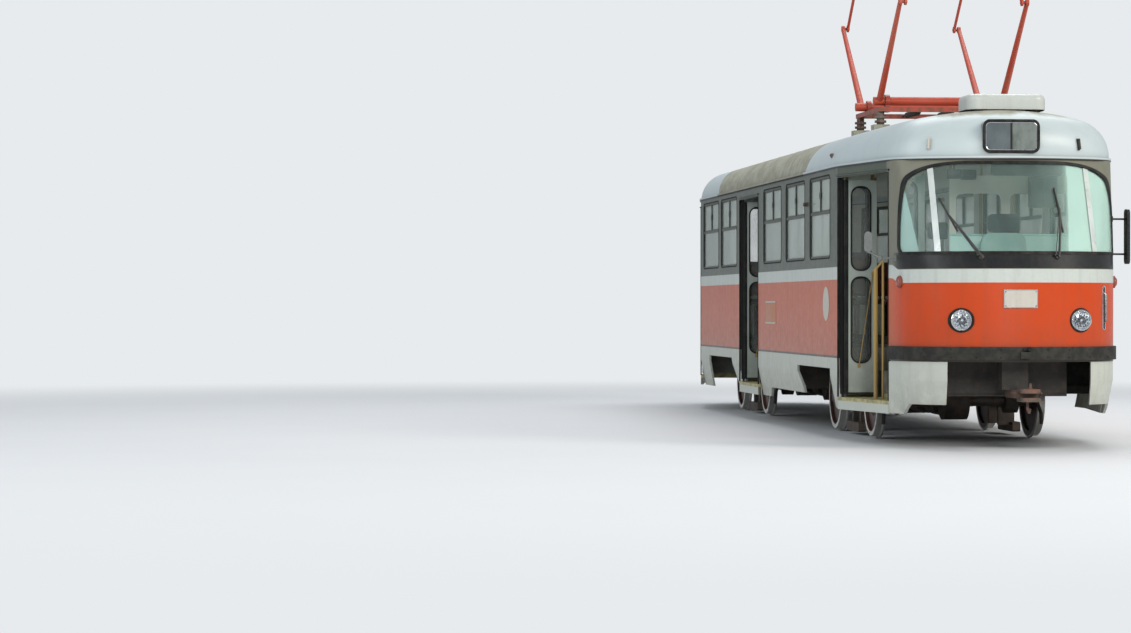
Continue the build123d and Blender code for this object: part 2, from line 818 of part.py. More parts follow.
def make_underframe():
    """Cross bearers, the sills between them, bogie pivots, coupler hangers, jacking pads and guards."""
    solids = []
    for x, half, right, left in bearers:
        bearer = box(x - half, x + half, right, left, frame_bottom_z, frame_top_z)
        if abs(x) == bogie_x:
            bearer += make_pivot(x)
        if abs(x) == end_bearer_x:
            end = x / end_bearer_x
            bearer += box(end * hanger_rear_x, end * (end_bearer_x + half), -hanger_half_width,
                          hanger_half_width, coupler_z + drawbar_half + seat_gap, frame_bottom_z)
        if x in jack_pad_stations:
            for hand in (1, -1):
                y = hand * jack_pad_y
                bearer += box(x - jack_pad_half_length, x + jack_pad_half_length, y - jack_pad_half_width,
                              y + jack_pad_half_width, frame_bottom_z - jack_pad_depth, frame_bottom_z)
        solids.append(bearer)
    for rear, front in zip(bearers, bearers[1:]):
        at_end = min(abs(rear[0]), abs(front[0])) >= end_sill_start_x
        for hand in (1, -1):
            y = hand * (end_sill_y if at_end else sill_y)
            solids.append(box(rear[0] + rear[1] + seat_gap, front[0] - front[1] - seat_gap,
                              y - sill_width / 2, y + sill_width / 2, frame_bottom_z, frame_top_z))
    guard = box(guard_x, guard_x + guard_thickness, guard_right_y, guard_left_y, guard_bar_z,
                frame_bottom_z - seat_gap)
    guard += rod((guard_x, guard_right_y, guard_bar_z), (guard_x, guard_left_y, guard_bar_z), guard_bar_radius)
    return solids + both_ends(guard)


def make_coupler():
    """Drawbar with its rounded head and the bore of the coupling pin."""
    reach = coupler_reach_x
    z = coupler_z
    bar = box(coupler_root_x, reach - head_slot_depth, -drawbar_half, drawbar_half, z - drawbar_half,
              z + drawbar_half)
    head = box(reach - head_length, reach, -head_half_width, head_half_width, z - head_half_height,
               z + head_half_height)
    head = fillet(head.edges().filter_by(Axis.Z), head_corner)
    slot = box(reach - head_slot_depth, reach, -head_half_width, head_half_width, z - head_slot_half,
               z + head_slot_half)
    pin_x = reach - coupler_pin_inset
    pin = rod((pin_x, 0, z - head_half_height), (pin_x, 0, z + head_half_height), coupler_pin_radius)
    return bar + head - slot - pin


def make_bogie_frame():
    """Bogie frame about its own pivot: side beams, bearing housings, transoms, bolster and springs."""
    z = axle_z
    frame = Part()
    for hand in (1, -1):
        inner = hand * beam_y - beam_width / 2
        outer = hand * beam_y + beam_width / 2
        reach = half_wheelbase + beam_end_reach
        frame += box(-reach, reach, inner, outer, beam_bottom_z, beam_top_z)
        for x in (half_wheelbase, -half_wheelbase):
            frame += rod((x, inner - bearing_proud, z), (x, outer + bearing_proud, z), bearing_radius)
    for end in (1, -1):
        frame += box(end * (motor_start - transom_width), end * motor_start, -beam_y, beam_y,
                     z - transom_half_height, z + transom_half_height)
    for x in (half_wheelbase, -half_wheelbase):
        frame -= rod((x, -half_width, z), (x, half_width, z), axle_radius + pin_clearance)
    bolster = box(-bolster_half_length, bolster_half_length, -bolster_half_width, bolster_half_width,
                  bolster_bottom_z, bolster_top_z)
    bolster = fillet(bolster.edges().filter_by(Axis.Z), bolster_corner)
    bolster -= rod((0, 0, bolster_bottom_z), (0, 0, bolster_top_z), pivot_pin_radius + pivot_clearance)
    for hand in (1, -1):
        bolster += rod((0, hand * beam_y, beam_top_z), (0, hand * beam_y, bolster_bottom_z), spring_radius)
    return frame + bolster


def make_motors():
    """Two traction motors along the bogie, each with its shaft and the gear case round the axle."""
    units = []
    for end in (1, -1):
        x = end * half_wheelbase
        motor = rod((end * motor_start, 0, axle_z), (end * motor_end, 0, axle_z), motor_radius)
        motor += rod((end * motor_end, 0, axle_z), (x, 0, axle_z), motor_shaft_radius)
        motor += rod((x, -gear_case_half_width, axle_z), (x, gear_case_half_width, axle_z), gear_case_radius)
        motor -= rod((x, -beam_y, axle_z), (x, beam_y, axle_z), axle_radius + pin_clearance)
        units.append(motor)
    return units


def make_track_brakes():
    """Magnetic rail brakes between the wheels, on brackets of the side beams."""
    units = []
    for hand in (1, -1):
        y = hand * brake_y
        unit = box(-brake_half_length, brake_half_length, y - brake_width / 2, y + brake_width / 2,
                   brake_bottom_z, brake_top_z)
        unit = chamfer(unit.edges().filter_by(Axis.Y), brake_nose)
        face_y = hand * (beam_y + beam_width / 2)
        for x in (-bracket_x, bracket_x):
            unit += box(x - bracket_half_width, x + bracket_half_width, face_y, y,
                        brake_top_z - bracket_overlap, beam_bottom_z + bracket_height)
        units.append(unit)
    return units


def make_wheels():
    """Two wheels of one axle, with flanges inside, a rim, a dished web and a hub."""
    inner = wheel_inner_y
    outer = wheel_outer_y
    tread = wheel_radius
    bore = axle_radius + wheel_bore_gap
    tip = tread + flange_height
    flange_face = inner + flange_thickness
    profile = Polyline(
        (bore, inner - hub_inner_reach), (hub_radius, inner - hub_inner_reach),
        (hub_radius + hub_draft, inner + hub_web_inset),
        (tread - rim_inner_depth - rim_inner_draft, inner + web_inner_inset), (tread - rim_inner_depth, inner),
        (tip - flange_back_drop, inner), (tip, inner + flange_tip_inset),
        (tip - flange_face_drop, flange_face - flange_face_inset),
        (tread + flange_root_rise, flange_face + flange_root_inset), (tread, outer - rim_edge),
        (tread - rim_edge, outer), (tread - rim_outer_depth, outer),
        (tread - rim_outer_depth - rim_outer_draft, inner + web_outer_inset),
        (hub_radius + web_dish_reach, inner + web_dish_inset), (hub_radius, outer + hub_outer_reach),
        (bore, outer + hub_outer_reach), close=True)
    face = make_face(profile)
    wheel = revolve(Plane(origin=(0, 0, 0), x_dir=(1, 0, 0), z_dir=(0, 0, -1)) * face, Axis.Y)
    wheels = []
    for hand in (1, -1):
        one = wheel if hand > 0 else mirror(wheel, about=Plane.XZ)
        wheels.append(Pos(0, 0, axle_z) * one)
    return wheels


def make_axle():
    """Axle shaft, a little longer than the wheel seats."""
    half = wheel_outer_y + axle_end_reach
    return Pos(0, 0, axle_z) * rod((0, -half, 0), (0, half, 0), axle_radius)


# Folding doors


def leaf_body(start, end):
    """Closed leaf along local X from start to end, in the door's own place, with its windows cut."""
    leaf = box(start, end, leaf_inset - leaf_thickness / 2, leaf_inset + leaf_thickness / 2,
               leaf_bottom_z, leaf_top_z)
    middle = (start + end) / 2
    for z0, z1 in leaf_pane_heights:
        outline = Pos(middle, (z0 + z1) / 2) * RectangleRounded(leaf_window_width, z1 - z0, leaf_window_corner)
        leaf -= side_prism(outline, leaf_inset - leaf_thickness, leaf_inset + leaf_thickness)
    return leaf


def door_axes():
    """Hinge axes of the pair at the rear jamb, closed, in the door's own place."""
    jamb = -doorway_width / 2 + jamb_to_axis
    fold = jamb + leaf_run + leaf_pair_gap / 2
    return jamb, fold


def fold_hinges(fold, hand):
    """Plates of the two fold hinges on one leaf, each with its lower and upper height."""
    fold_y = leaf_inset - fold_offset
    reach = hand * (fold_ear_radius + ear_margin + leaf_pair_gap / 2)
    halves = []
    for z in (leaf_bottom_z + hinge_inset, leaf_top_z - hinge_inset - hinge_height):
        low_z, high_z = (z, z + hinge_height) if hand < 0 else (z + hinge_height + ear_gap,
                                                                 z + hinge_height + ear_gap + ear_height)
        halves.append((box(fold, fold + reach, fold_y - ear_margin, leaf_inset - leaf_thickness / 2,
                           low_z, high_z), low_z, high_z))
    return halves


def make_door():
    """Four leaves of one doorway, folded open, in the door's own place."""
    jamb, fold = door_axes()
    pivot_y = leaf_inset
    fold_y = leaf_inset - fold_offset
    first = leaf_body(jamb - axis_to_edge, jamb + leaf_run)
    for plate, low_z, high_z in fold_hinges(fold, -1):
        first += plate
        first += rod((fold, fold_y, low_z), (fold, fold_y, high_z + hinge_height), fold_pin_radius)
    second = leaf_body(fold + leaf_pair_gap / 2, fold + leaf_pair_gap / 2 + leaf_run)
    for ear, low_z, high_z in fold_hinges(fold, 1):
        ear += rod((fold, fold_y, low_z), (fold, fold_y, high_z), fold_ear_radius)
        second += ear - rod((fold, fold_y, low_z), (fold, fold_y, high_z), fold_pin_radius + pin_clearance)
    foot = sill_top_z + seat_gap
    head = doorway_top_z - seat_gap
    first += rod((jamb, pivot_y, foot), (jamb, pivot_y, leaf_bottom_z), pivot_post_radius)
    first += rod((jamb, pivot_y, leaf_top_z), (jamb, pivot_y, head), pivot_post_radius)
    turn_first = Pos(jamb, pivot_y, 0) * Rot(0, 0, 90) * Pos(-jamb, -pivot_y, 0)
    turn_second = Pos(fold, fold_y, 0) * Rot(0, 0, -180) * Pos(-fold, -fold_y, 0)
    rear = [turn_first * first, turn_first * turn_second * second]
    front = [mirror(leaf, about=Plane.YZ) for leaf in rear]
    return rear + front


# Pantograph


def arm_points(end):
    """Foot, knee and head pivots of one side of the pantograph, front or rear."""
    run = arm_length * math.cos(math.radians(arm_angle))
    rise = arm_length * math.sin(math.radians(arm_angle))
    foot = (pantograph_x + end * base_half_spacing, pivot_z)
    knee = (foot[0] + end * run, pivot_z + rise)
    head = (foot[0], pivot_z + 2 * rise)
    return foot, knee, head


def make_lower_arm(end):
    """Cross shaft with two tapered arms, each with the eye and the pin of its knee."""
    foot, knee, head = arm_points(end)
    reach = arm_y + lower_shaft_overhang
    arm = rod((foot[0], -reach, foot[1]), (foot[0], reach, foot[1]), shaft_radius)
    run = Vector(knee[0] - foot[0], 0, knee[1] - foot[1]).normalized()
    inner_face = upper_arm_y - upper_eye_half - knuckle_gap
    outer_face = upper_arm_y + upper_eye_half + knuckle_gap
    for hand in (1, -1):
        start = Vector(foot[0], hand * arm_y, foot[1])
        tip = Vector(knee[0], hand * arm_y, knee[1]) - run * (knuckle_radius / 2 + knuckle_pin_radius)
        tube = [Plane(origin=start, z_dir=run) * Circle(lower_arm_foot_radius),
                Plane(origin=tip, z_dir=run) * Circle(lower_arm_knee_radius)]
        arm += loft(tube, ruled=True)
        # Eye, distance collar, pin and pin head: from, to and radius
        for y0, y1, radius in (
                (arm_y + lower_eye_half, arm_y - lower_eye_half, knuckle_radius),
                (arm_y - lower_eye_half, outer_face, pin_head_radius),
                (outer_face, inner_face, knuckle_pin_radius),
                (inner_face, inner_face - pin_head_thickness, pin_head_radius)):
            arm += rod((knee[0], hand * y0, knee[1]), (knee[0], hand * y1, knee[1]), radius)
    return arm


def make_upper_arm(end):
    """Two slender arms from the knees up to the head, joined by a cross tube and a brace."""
    foot, knee, head = arm_points(end)
    run = Vector(head[0] - knee[0], 0, head[1] - knee[1]).normalized()
    reach = upper_arm_y + upper_shaft_overhang
    arm = rod((head[0], -reach, head[1]), (head[0], reach, head[1]), upper_shaft_radius)
    brace = Vector(knee[0], 0, knee[1]) + run * (arm_length * brace_share)
    arm += rod((brace.X, -upper_arm_y, brace.Z), (brace.X, upper_arm_y, brace.Z), brace_radius)
    for hand in (1, -1):
        y = hand * upper_arm_y
        start = Vector(knee[0], y, knee[1]) + run * (knuckle_radius / 2 + knuckle_pin_radius)
        arm += rod(tuple(start), (head[0], y, head[1]), upper_arm_radius)
        arm += rod((knee[0], y - upper_eye_half, knee[1]), (knee[0], y + upper_eye_half, knee[1]), knuckle_radius)
        arm -= rod((knee[0], y - arm_y, knee[1]), (knee[0], y + arm_y, knee[1]), knuckle_pin_radius + pin_clearance)
    return arm


def make_head():
    """Collector head: two contact strips with down-turned horns on a carrier between the two pivots."""
    pivots = [arm_points(end)[2] for end in (-1, 1)]
    z = pivots[0][1]
    strip_z = z + contact_lift
    head = Part()
    for hand in (1, -1):
        inner = hand * head_bar_y - head_bar_half
        outer = hand * head_bar_y + head_bar_half
        bar = box(pivots[0][0] - head_bar_overhang, pivots[1][0] + head_bar_overhang, inner, outer,
                  z - head_bar_half_height, z + head_bar_half_height)
        for x in (pantograph_x - strip_spacing, pantograph_x + strip_spacing):
            bar += box(x - carrier_half, x + carrier_half, inner, outer, z, strip_z)
        for x, height in pivots:
            bar += rod((x, inner, height), (x, outer, height), head_eye_radius)
        for x, height in pivots:
            bar -= rod((x, inner, height), (x, outer, height), upper_shaft_radius + pin_clearance)
        head += bar
    half = head_half_length
    drop_z = strip_z - horn_drop
    tip = half + horn_reach
    for x in (pantograph_x - strip_spacing, pantograph_x + strip_spacing):
        profile = Polyline((-tip, drop_z), (-half, strip_z + contact_depth), (half, strip_z + contact_depth),
                           (tip, drop_z), (tip - horn_tip_inset, drop_z - horn_tip_drop),
                           (half - horn_bend_inset, strip_z), (-half + horn_bend_inset, strip_z),
                           (-tip + horn_tip_inset, drop_z - horn_tip_drop), close=True)
        head += Pos(x - contact_half_width, 0, 0) * extrude(Plane.YZ * make_face(profile), 2 * contact_half_width)
    return head


def make_pantograph_base():
    """Base frame on four insulators, with the bearings of both shafts."""
    z0 = base_bottom_z
    z1 = base_top_z
    height = z0 - roof_pad_z
    frame = Part()
    for hand in (1, -1):
        y = hand * arm_y
        frame += box(pantograph_x - base_half_length, pantograph_x + base_half_length, y - base_bar_half,
                     y + base_bar_half, z0, z1)
    for end in (1, -1):
        x = pantograph_x + end * base_cross_x
        frame += box(x - base_bar_half, x + base_bar_half, -arm_y, arm_y, z0, z1)
        foot = pantograph_x + end * base_half_spacing
        for hand in (1, -1):
            place = Pos(pantograph_x + end * insulator_x, hand * arm_y, roof_pad_z)
            frame += place * Pos(0, 0, height / 2) * Cylinder(insulator_radius, height)
            for level in shed_levels:
                frame += place * Pos(0, 0, height * level) * Cylinder(shed_radius, shed_height)
            inner = hand * bearing_y - bearing_half
            outer = hand * bearing_y + bearing_half
            bearing = rod((foot, inner, pivot_z), (foot, outer, pivot_z), shaft_radius + bearing_wall)
            bearing += box(foot - bearing_foot_half, foot + bearing_foot_half, inner, outer, z0, pivot_z)
            bearing -= rod((foot, inner, pivot_z), (foot, outer, pivot_z), shaft_radius + pin_clearance)
            bearing += box(foot - bearing_foot_half, foot + bearing_foot_half, hand * bearing_y, hand * arm_y,
                           z0, z1)
            frame += bearing
    return frame


# Fittings of the body


def lamp_unit():
    """One round lamp about its own axis, facing +X: housing, bezel and domed lens."""
    lens_radius = lamp_radius - bezel_width
    lens_edge = bezel_proud - bezel_step
    bulge = lens_proud - lens_edge
    sphere = (lens_radius ** 2 + bulge ** 2) / (2 * bulge)
    half_turn = math.asin(lens_radius / sphere) / 2
    middle = (lens_proud - sphere + sphere * math.cos(half_turn), sphere * math.sin(half_turn))
    outline = Polyline((lens_proud, 0), (-lamp_depth, 0), (-lamp_depth, lamp_radius),
                       (bezel_proud - bezel_round, lamp_radius), (bezel_proud, lamp_radius - bezel_round),
                       (bezel_proud, lens_radius), (lens_edge, lens_radius))
    lens = ThreePointArc((lens_edge, lens_radius), middle, (lens_proud, 0))
    return revolve(make_face([*outline.edges(), *lens.edges()]), Axis.X)


def make_lamps():
    """Two round lamps in the skin of the front end."""
    skin_x = nose_x - nose_radius + math.sqrt(nose_radius ** 2 - lamp_y ** 2)
    return [Pos(skin_x, hand * lamp_y, lamp_z) * lamp_unit() for hand in (1, -1)]


def make_destination_box(margin=0.0):
    """Route box in the brow, or with a margin the recess that it sits in."""
    z0 = route_box_bottom_z - margin
    z1 = route_box_top_z + margin
    outline = Pos(0, (z0 + z1) / 2) * RectangleRounded(route_box_width + 2 * margin, z1 - z0,
                                                       route_box_corner + margin)
    rear_x = brow_x + route_box_proud - route_box_depth - margin
    return Pos(rear_x, 0, 0) * extrude(Plane.YZ * outline, route_box_depth + 2 * margin)


def make_cab_vent():
    """Cab ventilation unit on the roof, a low rounded housing."""
    housing = box(vent_rear_x, vent_front_x, vent_y - vent_half_width, vent_y + vent_half_width,
                  roof_pad_z, vent_top_z)
    housing = fillet(housing.edges().filter_by(Axis.Z), vent_corner)
    return fillet(housing.faces().sort_by(Axis.Z)[-1].edges(), vent_top_edge)


def mirror_foot(side, z):
    """Foot plate of a mirror arm on the corner post, and the point where the arm starts."""
    place = wall_frame(side, taper_start_x + mirror_foot_along)
    plate = place * box(-mirror_foot_half, mirror_foot_half, side * seat_gap, side * mirror_foot_plate,
                        z - mirror_foot_half, z + mirror_foot_half)
    return plate, tuple((place * Pos(0, side * mirror_foot_plate / 2, z)).position)


def make_mirrors():
    """Door mirror on a bent arm at the right corner, and a slim tall mirror at the left corner."""
    plate, root = mirror_foot(-1, mirror_elbow[2])
    arm = plate + rod(root, mirror_elbow, mirror_arm_radius) + rod(mirror_elbow, mirror_tip, mirror_arm_radius)
    arm += Pos(*mirror_elbow) * Sphere(mirror_arm_radius)
    glass = Box(*mirror_size)
    glass = fillet(glass.edges().filter_by(Axis.X), mirror_corner)
    arm += Pos(mirror_tip[0], mirror_tip[1], mirror_tip[2] + mirror_size[2] / 2) * Rot(0, 0, mirror_turn) * glass
    slim = Box(*slim_mirror_size)
    slim = Pos(slim_mirror_x, slim_mirror_y, slim_mirror_z) * fillet(slim.edges().filter_by(Axis.Y),
                                                                     slim_mirror_corner)
    for z in slim_mirror_feet:
        plate, root = mirror_foot(1, z)
        slim += plate + rod(root, (slim_mirror_x, slim_mirror_y, z), mirror_arm_radius)
    return [arm, slim]


def make_seats():
    """Passenger seats: leg, cushion and back of each."""
    half = seat_length / 2
    seat = box(-half, half, -seat_half_width, seat_half_width, cushion_z, cushion_z + cushion_thickness)
    seat += box(-half - back_thickness, -half, -seat_half_width, seat_half_width, cushion_z, back_top)
    seat = fillet(seat.edges().filter_by(Axis.X), seat_edge)
    seat += box(-seat_leg_half, seat_leg_half, -seat_leg_half, seat_leg_half, 0, cushion_z)
    seats = []
    for side, rows in ((1, seat_rows_left), (-1, seat_rows_right)):
        for x in rows:
            past_taper = max(0, abs(x) + half + back_thickness - taper_start_x)
            outside = half_width - past_taper * math.tan(math.radians(taper_angle))
            seats.append(Pos(x, side * (outside - wall - seat_from_wall), floor_top_z) * seat)
    return seats


def make_driver_seat():
    """Driver's seat: column, cushion, back and head rest on its post."""
    place = Pos(driver_x, driver_y, floor_top_z)
    back = Pos(driver_back_x, driver_y, floor_top_z)
    seat = place * Pos(0, 0, driver_cushion_z) * fillet(Box(*driver_cushion).edges(), driver_edge)
    seat += place * Pos(0, 0, driver_column_height / 2) * Cylinder(driver_column_radius, driver_column_height)
    seat += back * Pos(0, 0, driver_back_z) * fillet(Box(*driver_back).edges(), driver_edge)
    seat += back * Pos(0, 0, driver_rest_post_z) * Box(*driver_rest_post)
    seat += back * Pos(0, 0, driver_rest_z) * fillet(Box(*driver_rest).edges(), driver_edge)
    return seat


def make_desk():
    """Driver's desk under the windscreen."""
    top = floor_top_z + desk_height
    profile = Polyline((desk_rear_x, floor_top_z), (desk_rear_x, top - desk_rear_drop),
                       (desk_rear_x + desk_shelf, top - desk_lip), (desk_front_x - desk_front_slope, top),
                       (desk_front_x, top - desk_lip), (desk_front_x, floor_top_z), close=True)
    desk = side_prism(make_face(profile), desk_right_y, desk_left_y)
    return desk & body_solid(floor_top_z, lean_start_z, -wall - desk_wall_gap)


def make_partition():
    """Wall behind the driver with its window."""
    x = partition_x
    left = half_width - wall - partition_wall_gap
    panel = box(x - partition_half, x + partition_half, partition_right_y, left, floor_top_z, partition_top_z)
    for y0, y1 in partition_panes:
        outline = Pos((y0 + y1) / 2, partition_pane_z) * RectangleRounded(y1 - y0, partition_pane_height,
                                                                          partition_pane_corner)
        panel -= Pos(x - partition_half, 0, 0) * extrude(Plane.YZ * outline, 2 * partition_half)
    return panel


def make_handrails():
    """Cabin stanchions, and the looped pole in each doorway."""
    rails = []
    for x in stanchion_stations:
        for y in (stanchion_y, -stanchion_y):
            rails.append(rod((x, y, floor_top_z), (x, y, stanchion_top_z), stanchion_radius))
    knee = (0, pole_inset, pole_top_z)
    bend = (thin_pole_x, thin_pole_inset, thin_pole_top_z)
    loop = rod((0, pole_inset, sill_top_z), knee, pole_radius) + Pos(*knee) * Sphere(pole_radius)
    loop += rod(knee, bend, thin_pole_radius) + Pos(*bend) * Sphere(thin_pole_radius)
    loop += rod((thin_pole_x, thin_pole_inset, sill_top_z), bend, thin_pole_radius)
    return rails + [place * loop for place in doorway_frames()]


def make_equipment():
    """Closed boxes of the traction gear, hung under the floor between the bogies."""
    return [box(x0, x1, y0, y1, z0, frame_bottom_z) for x0, x1, y0, y1, z0 in equipment]


def make_windows():
    """Frame of each side window, with its transom and the post between the upper panes, and its panes."""
    frames = []
    panes = []
    half_bar = vent_bar_height / 2
    half_post = vent_post_width / 2
    for side, place, width in window_places():
        depth = window_frame_recess + window_frame_depth
        low_y, high_y = sorted((-side * window_frame_recess, -side * depth))
        inner = width / 2 - window_bar / 2
        rim_z = window_top_z - window_bar / 2
        ring = window_block(width, -window_edge_gap, window_frame_recess, depth, side)
        ring -= window_block(width, -window_bar, 0, wall, side)
        ring += box(-inner, inner, low_y, high_y, vent_bar_z - half_bar, vent_bar_z + half_bar)
        ring += box(-half_post, half_post, low_y, high_y, vent_bar_z, rim_z)
        frames.append(place * ring)
        gap = window_edge_gap
        pane = window_block(width, -window_bar - gap, pane_recess, pane_recess + pane_thickness, side)
        pane -= box(-inner, inner, low_y, high_y, vent_bar_z - half_bar - gap, vent_bar_z + half_bar + gap)
        pane -= box(-half_post - gap, half_post + gap, low_y, high_y, vent_bar_z, rim_z)
        panes.append(place * pane)
    return frames, panes


def build_all():
    """Make every sub-part and write its file."""
    os.makedirs("parts", exist_ok=True)
    upright, leaning = make_shell()
    write("side_left", [make_side(1, upright, leaning)])
    write("side_right", [make_side(-1, upright, leaning)])
    end = make_end(upright, leaning)
    write("end_front", [end])
    write("end_rear", [Rot(0, 0, 180) * end])
    write("windscreens", both_ends(make_screens()))
    write("screen_seals", both_ends(make_screen_seals()))
    write("screen_strips", both_ends(make_screen_strips()))
    write("roof", [make_roof()])
    write("floor", [make_floor()])
    write("steps", [make_steps(place) for place in doorway_frames()])
    write("skirts", make_skirts())
    write("end_skirts", both_ends(make_end_skirts()))
    write("bumpers", both_ends(make_bumper()))
    write("underframe", make_underframe())
    write("couplers", both_ends(make_coupler()))
    frames, panes = make_windows()
    write("window_frames", frames)
    write("side_glass", panes)
    for name, end in (("front", 1), ("rear", -1)):
        place = Pos(end * bogie_x, 0, 0)
        write("bogie_frame_" + name, [place * make_bogie_frame()])
        write("motors_" + name, [place * unit for unit in make_motors()])
        write("rail_brakes_" + name, [place * unit for unit in make_track_brakes()])
    axle_places = [bogie_x + half_wheelbase, bogie_x - half_wheelbase, -bogie_x + half_wheelbase,
                   -bogie_x - half_wheelbase]
    for number, x in enumerate(axle_places, 1):
        write("wheels_" + str(number), [Pos(x, 0, 0) * wheel for wheel in make_wheels()])
        write("axle_" + str(number), [Pos(x, 0, 0) * make_axle()])
    leaves = make_door()
    for door, place in enumerate(doorway_frames(), 1):
        for leaf, solid in zip(("rear_a", "rear_b", "front_a", "front_b"), leaves):
            write("door_" + str(door) + "_" + leaf, [place * solid])
    write("pantograph_base", [make_pantograph_base()])
    write("arm_lower_front", [make_lower_arm(1)])
    write("arm_lower_rear", [make_lower_arm(-1)])
    write("arm_upper_front", [make_upper_arm(1)])
    write("arm_upper_rear", [make_upper_arm(-1)])
    write("collector_head", [make_head()])
    write("headlamps", make_lamps())
    write("tail_lamps", [Rot(0, 0, 180) * lamp for lamp in make_lamps()])
    write("destination_boxes", both_ends(make_destination_box()))
    write("cab_vent", [make_cab_vent()])
    write("mirrors", make_mirrors())
    write("passenger_seats", make_seats())
    write("driver_seat", [make_driver_seat()])
    write("driver_desk", [make_desk()])
    write("cab_partition", [make_partition()])
    write("handrails", make_handrails())
    write("equipment_boxes", make_equipment())


build_all()
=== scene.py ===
import json
import math

import bmesh
import bpy
from mathutils import Matrix, Vector
from mathutils.bvhtree import BVHTree


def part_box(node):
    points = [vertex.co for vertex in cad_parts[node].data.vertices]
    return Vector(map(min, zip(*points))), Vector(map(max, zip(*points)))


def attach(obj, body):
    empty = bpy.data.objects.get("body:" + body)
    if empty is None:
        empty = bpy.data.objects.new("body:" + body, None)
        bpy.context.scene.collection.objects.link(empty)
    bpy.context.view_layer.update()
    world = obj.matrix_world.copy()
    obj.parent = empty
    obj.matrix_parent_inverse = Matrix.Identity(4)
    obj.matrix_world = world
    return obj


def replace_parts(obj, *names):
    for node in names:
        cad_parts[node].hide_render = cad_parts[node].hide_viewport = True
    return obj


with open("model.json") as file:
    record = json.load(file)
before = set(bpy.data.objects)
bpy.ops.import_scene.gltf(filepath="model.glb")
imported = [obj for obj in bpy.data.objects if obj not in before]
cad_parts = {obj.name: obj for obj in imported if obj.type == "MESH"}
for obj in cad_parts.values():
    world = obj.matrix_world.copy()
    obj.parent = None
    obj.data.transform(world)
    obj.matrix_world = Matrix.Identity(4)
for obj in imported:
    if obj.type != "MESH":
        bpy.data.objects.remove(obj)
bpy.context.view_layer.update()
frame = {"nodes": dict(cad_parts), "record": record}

# Driving sizes, in metres. +X is the tram's front, +Y its left side and z 0 the lowest flange.
FLANGE = 0.022
HALF_WIDTH = 1.25
TAPER_START = 4.7
TAPER_ANGLE = math.radians(9.3)
SKIRT_TOP = FLANGE + 0.77
FRONT_JOINT = 6.05
POST_START = 6.0
ROOF_BASE = FLANGE + 2.59
FLOOR_TOP = FLANGE + 0.9
BELT_BOTTOM = FLANGE + 1.52
BELT_TOP = FLANGE + 1.64
SCREEN_TOP = FLANGE + 2.56
LAMP_Y = 0.54
LAMP_Z = FLANGE + 1.14
LAMP_RADIUS = 0.095
AXLE_Z = FLANGE + 0.35
AXLES = {1: 4.15, 2: 2.25, 3: -2.25, 4: -4.15}
ENDS = ((1, "front"), (-1, "rear"))
HANDS = (1, -1)

# Doorways and their folding leaves, as they stand open
DOORWAY_WIDTH = 1.368
DOORWAY_TOP = FLANGE + 2.49
SILL_TOP = FLANGE + 0.4
MIDDLE_DOOR = -0.8
END_DOOR = TAPER_START + DOORWAY_WIDTH / 2 + 0.003
LEAF_THICKNESS = 0.035
LEAF_INSET = 0.04
LEAF_BOTTOM = SILL_TOP + 0.03
LEAF_TOP = DOORWAY_TOP - 0.025
JAMB_TO_AXIS = 0.034
LEAF_GAP = 0.008
LEAF_RUN = (DOORWAY_WIDTH / 2 - JAMB_TO_AXIS - LEAF_GAP - 0.008) / 2
FOLD_OFFSET = LEAF_THICKNESS / 2 + 0.008
PANE_WIDTH = 0.19
PANE_CORNER = 0.08
PANE_HEIGHTS = [(FLANGE + 1.61, FLANGE + 2.4), (FLANGE + 0.73, FLANGE + 1.54)]
AXIS_TO_EDGE = 0.022

# Side windows: station of the middle and width
WINDOW_BOTTOM = FLANGE + 1.73
WINDOW_TOP = FLANGE + 2.54
WINDOW_CORNER = 0.055
VENT_BAR = FLANGE + 2.18
WINDOW_BAR = 0.028
PANE_RECESS = 0.014
RIGHT_WINDOWS = [(-3.8, 1.3), (-2.32, 1.25), (0.845, 1.18), (2.305, 1.15), (3.74, 1.12)]
LEFT_WINDOWS = RIGHT_WINDOWS[:2] + [(-0.82, 1.25)] + RIGHT_WINDOWS[2:]
TAPER_WINDOW = (TAPER_START + 0.64, 1.05)

# Seats: stations of the passenger seats and the driver's place
SEAT_ROWS_LEFT = [-5.3 + 0.8 * k for k in range(13)]
SEAT_ROWS_RIGHT = [-4.0, -3.2, -2.4, 0.7, 1.5, 2.3, 3.1, 3.9]
SEAT_LENGTH = 0.4
SEAT_BACK_THICKNESS = 0.04
SEAT_FROM_WALL = 0.34
SEAT_LIFT = 0.4
DRIVER_X = 5.6
DRIVER_Y = 0.2

# Cab partition's front face, and the right mirror in plan
PARTITION_FACE = 5.0955
MIRROR = (6.11, -1.225)
MIRROR_FOOT = (6.2, -1.13)

# Plate, pantograph, bogies and underframe
PLATE_Y = -0.03
PANTOGRAPH_X = 3.1
PANTOGRAPH_BASE = FLANGE + 3.19
PANTOGRAPH_BASE_TOP = FLANGE + 3.235
BOGIE_X = 3.2
HALF_WHEELBASE = 0.95
BEAM_Y = 0.56
FRAME_BOTTOM = FLANGE + 0.79

# Camera, at the photograph's viewpoint
EYE = Vector((33.875, -6.645, 1.257 + FLANGE))
YAW = 0.09527
PITCH = -0.00304
FOCAL_PIXELS = 3098.0
PHOTO_WIDTH = 1131.0
SENSOR = 36.0

# Paints by their 0 to 255 values
RED = (190, 64, 15)
# Red of the sides: faded, and paler and greyer than the ends partly as a painted sheen of the sky
RED_FADED_WITH_SKY_SHEEN = (184, 88, 54)
BELT_WHITE = (188, 194, 188)
BAND_GREEN = (70, 80, 68)
POST_GREY = (116, 116, 102)
# Painted dark reflection under the windscreen and painted shadow above it, on the front
DARK_REFLECTION_AND_SHADOW = (26, 28, 31)
SKIRT_WHITE = (184, 188, 178)
ROOF_WHITE = (180, 191, 192)
ROOF_GREY = (158, 158, 142)
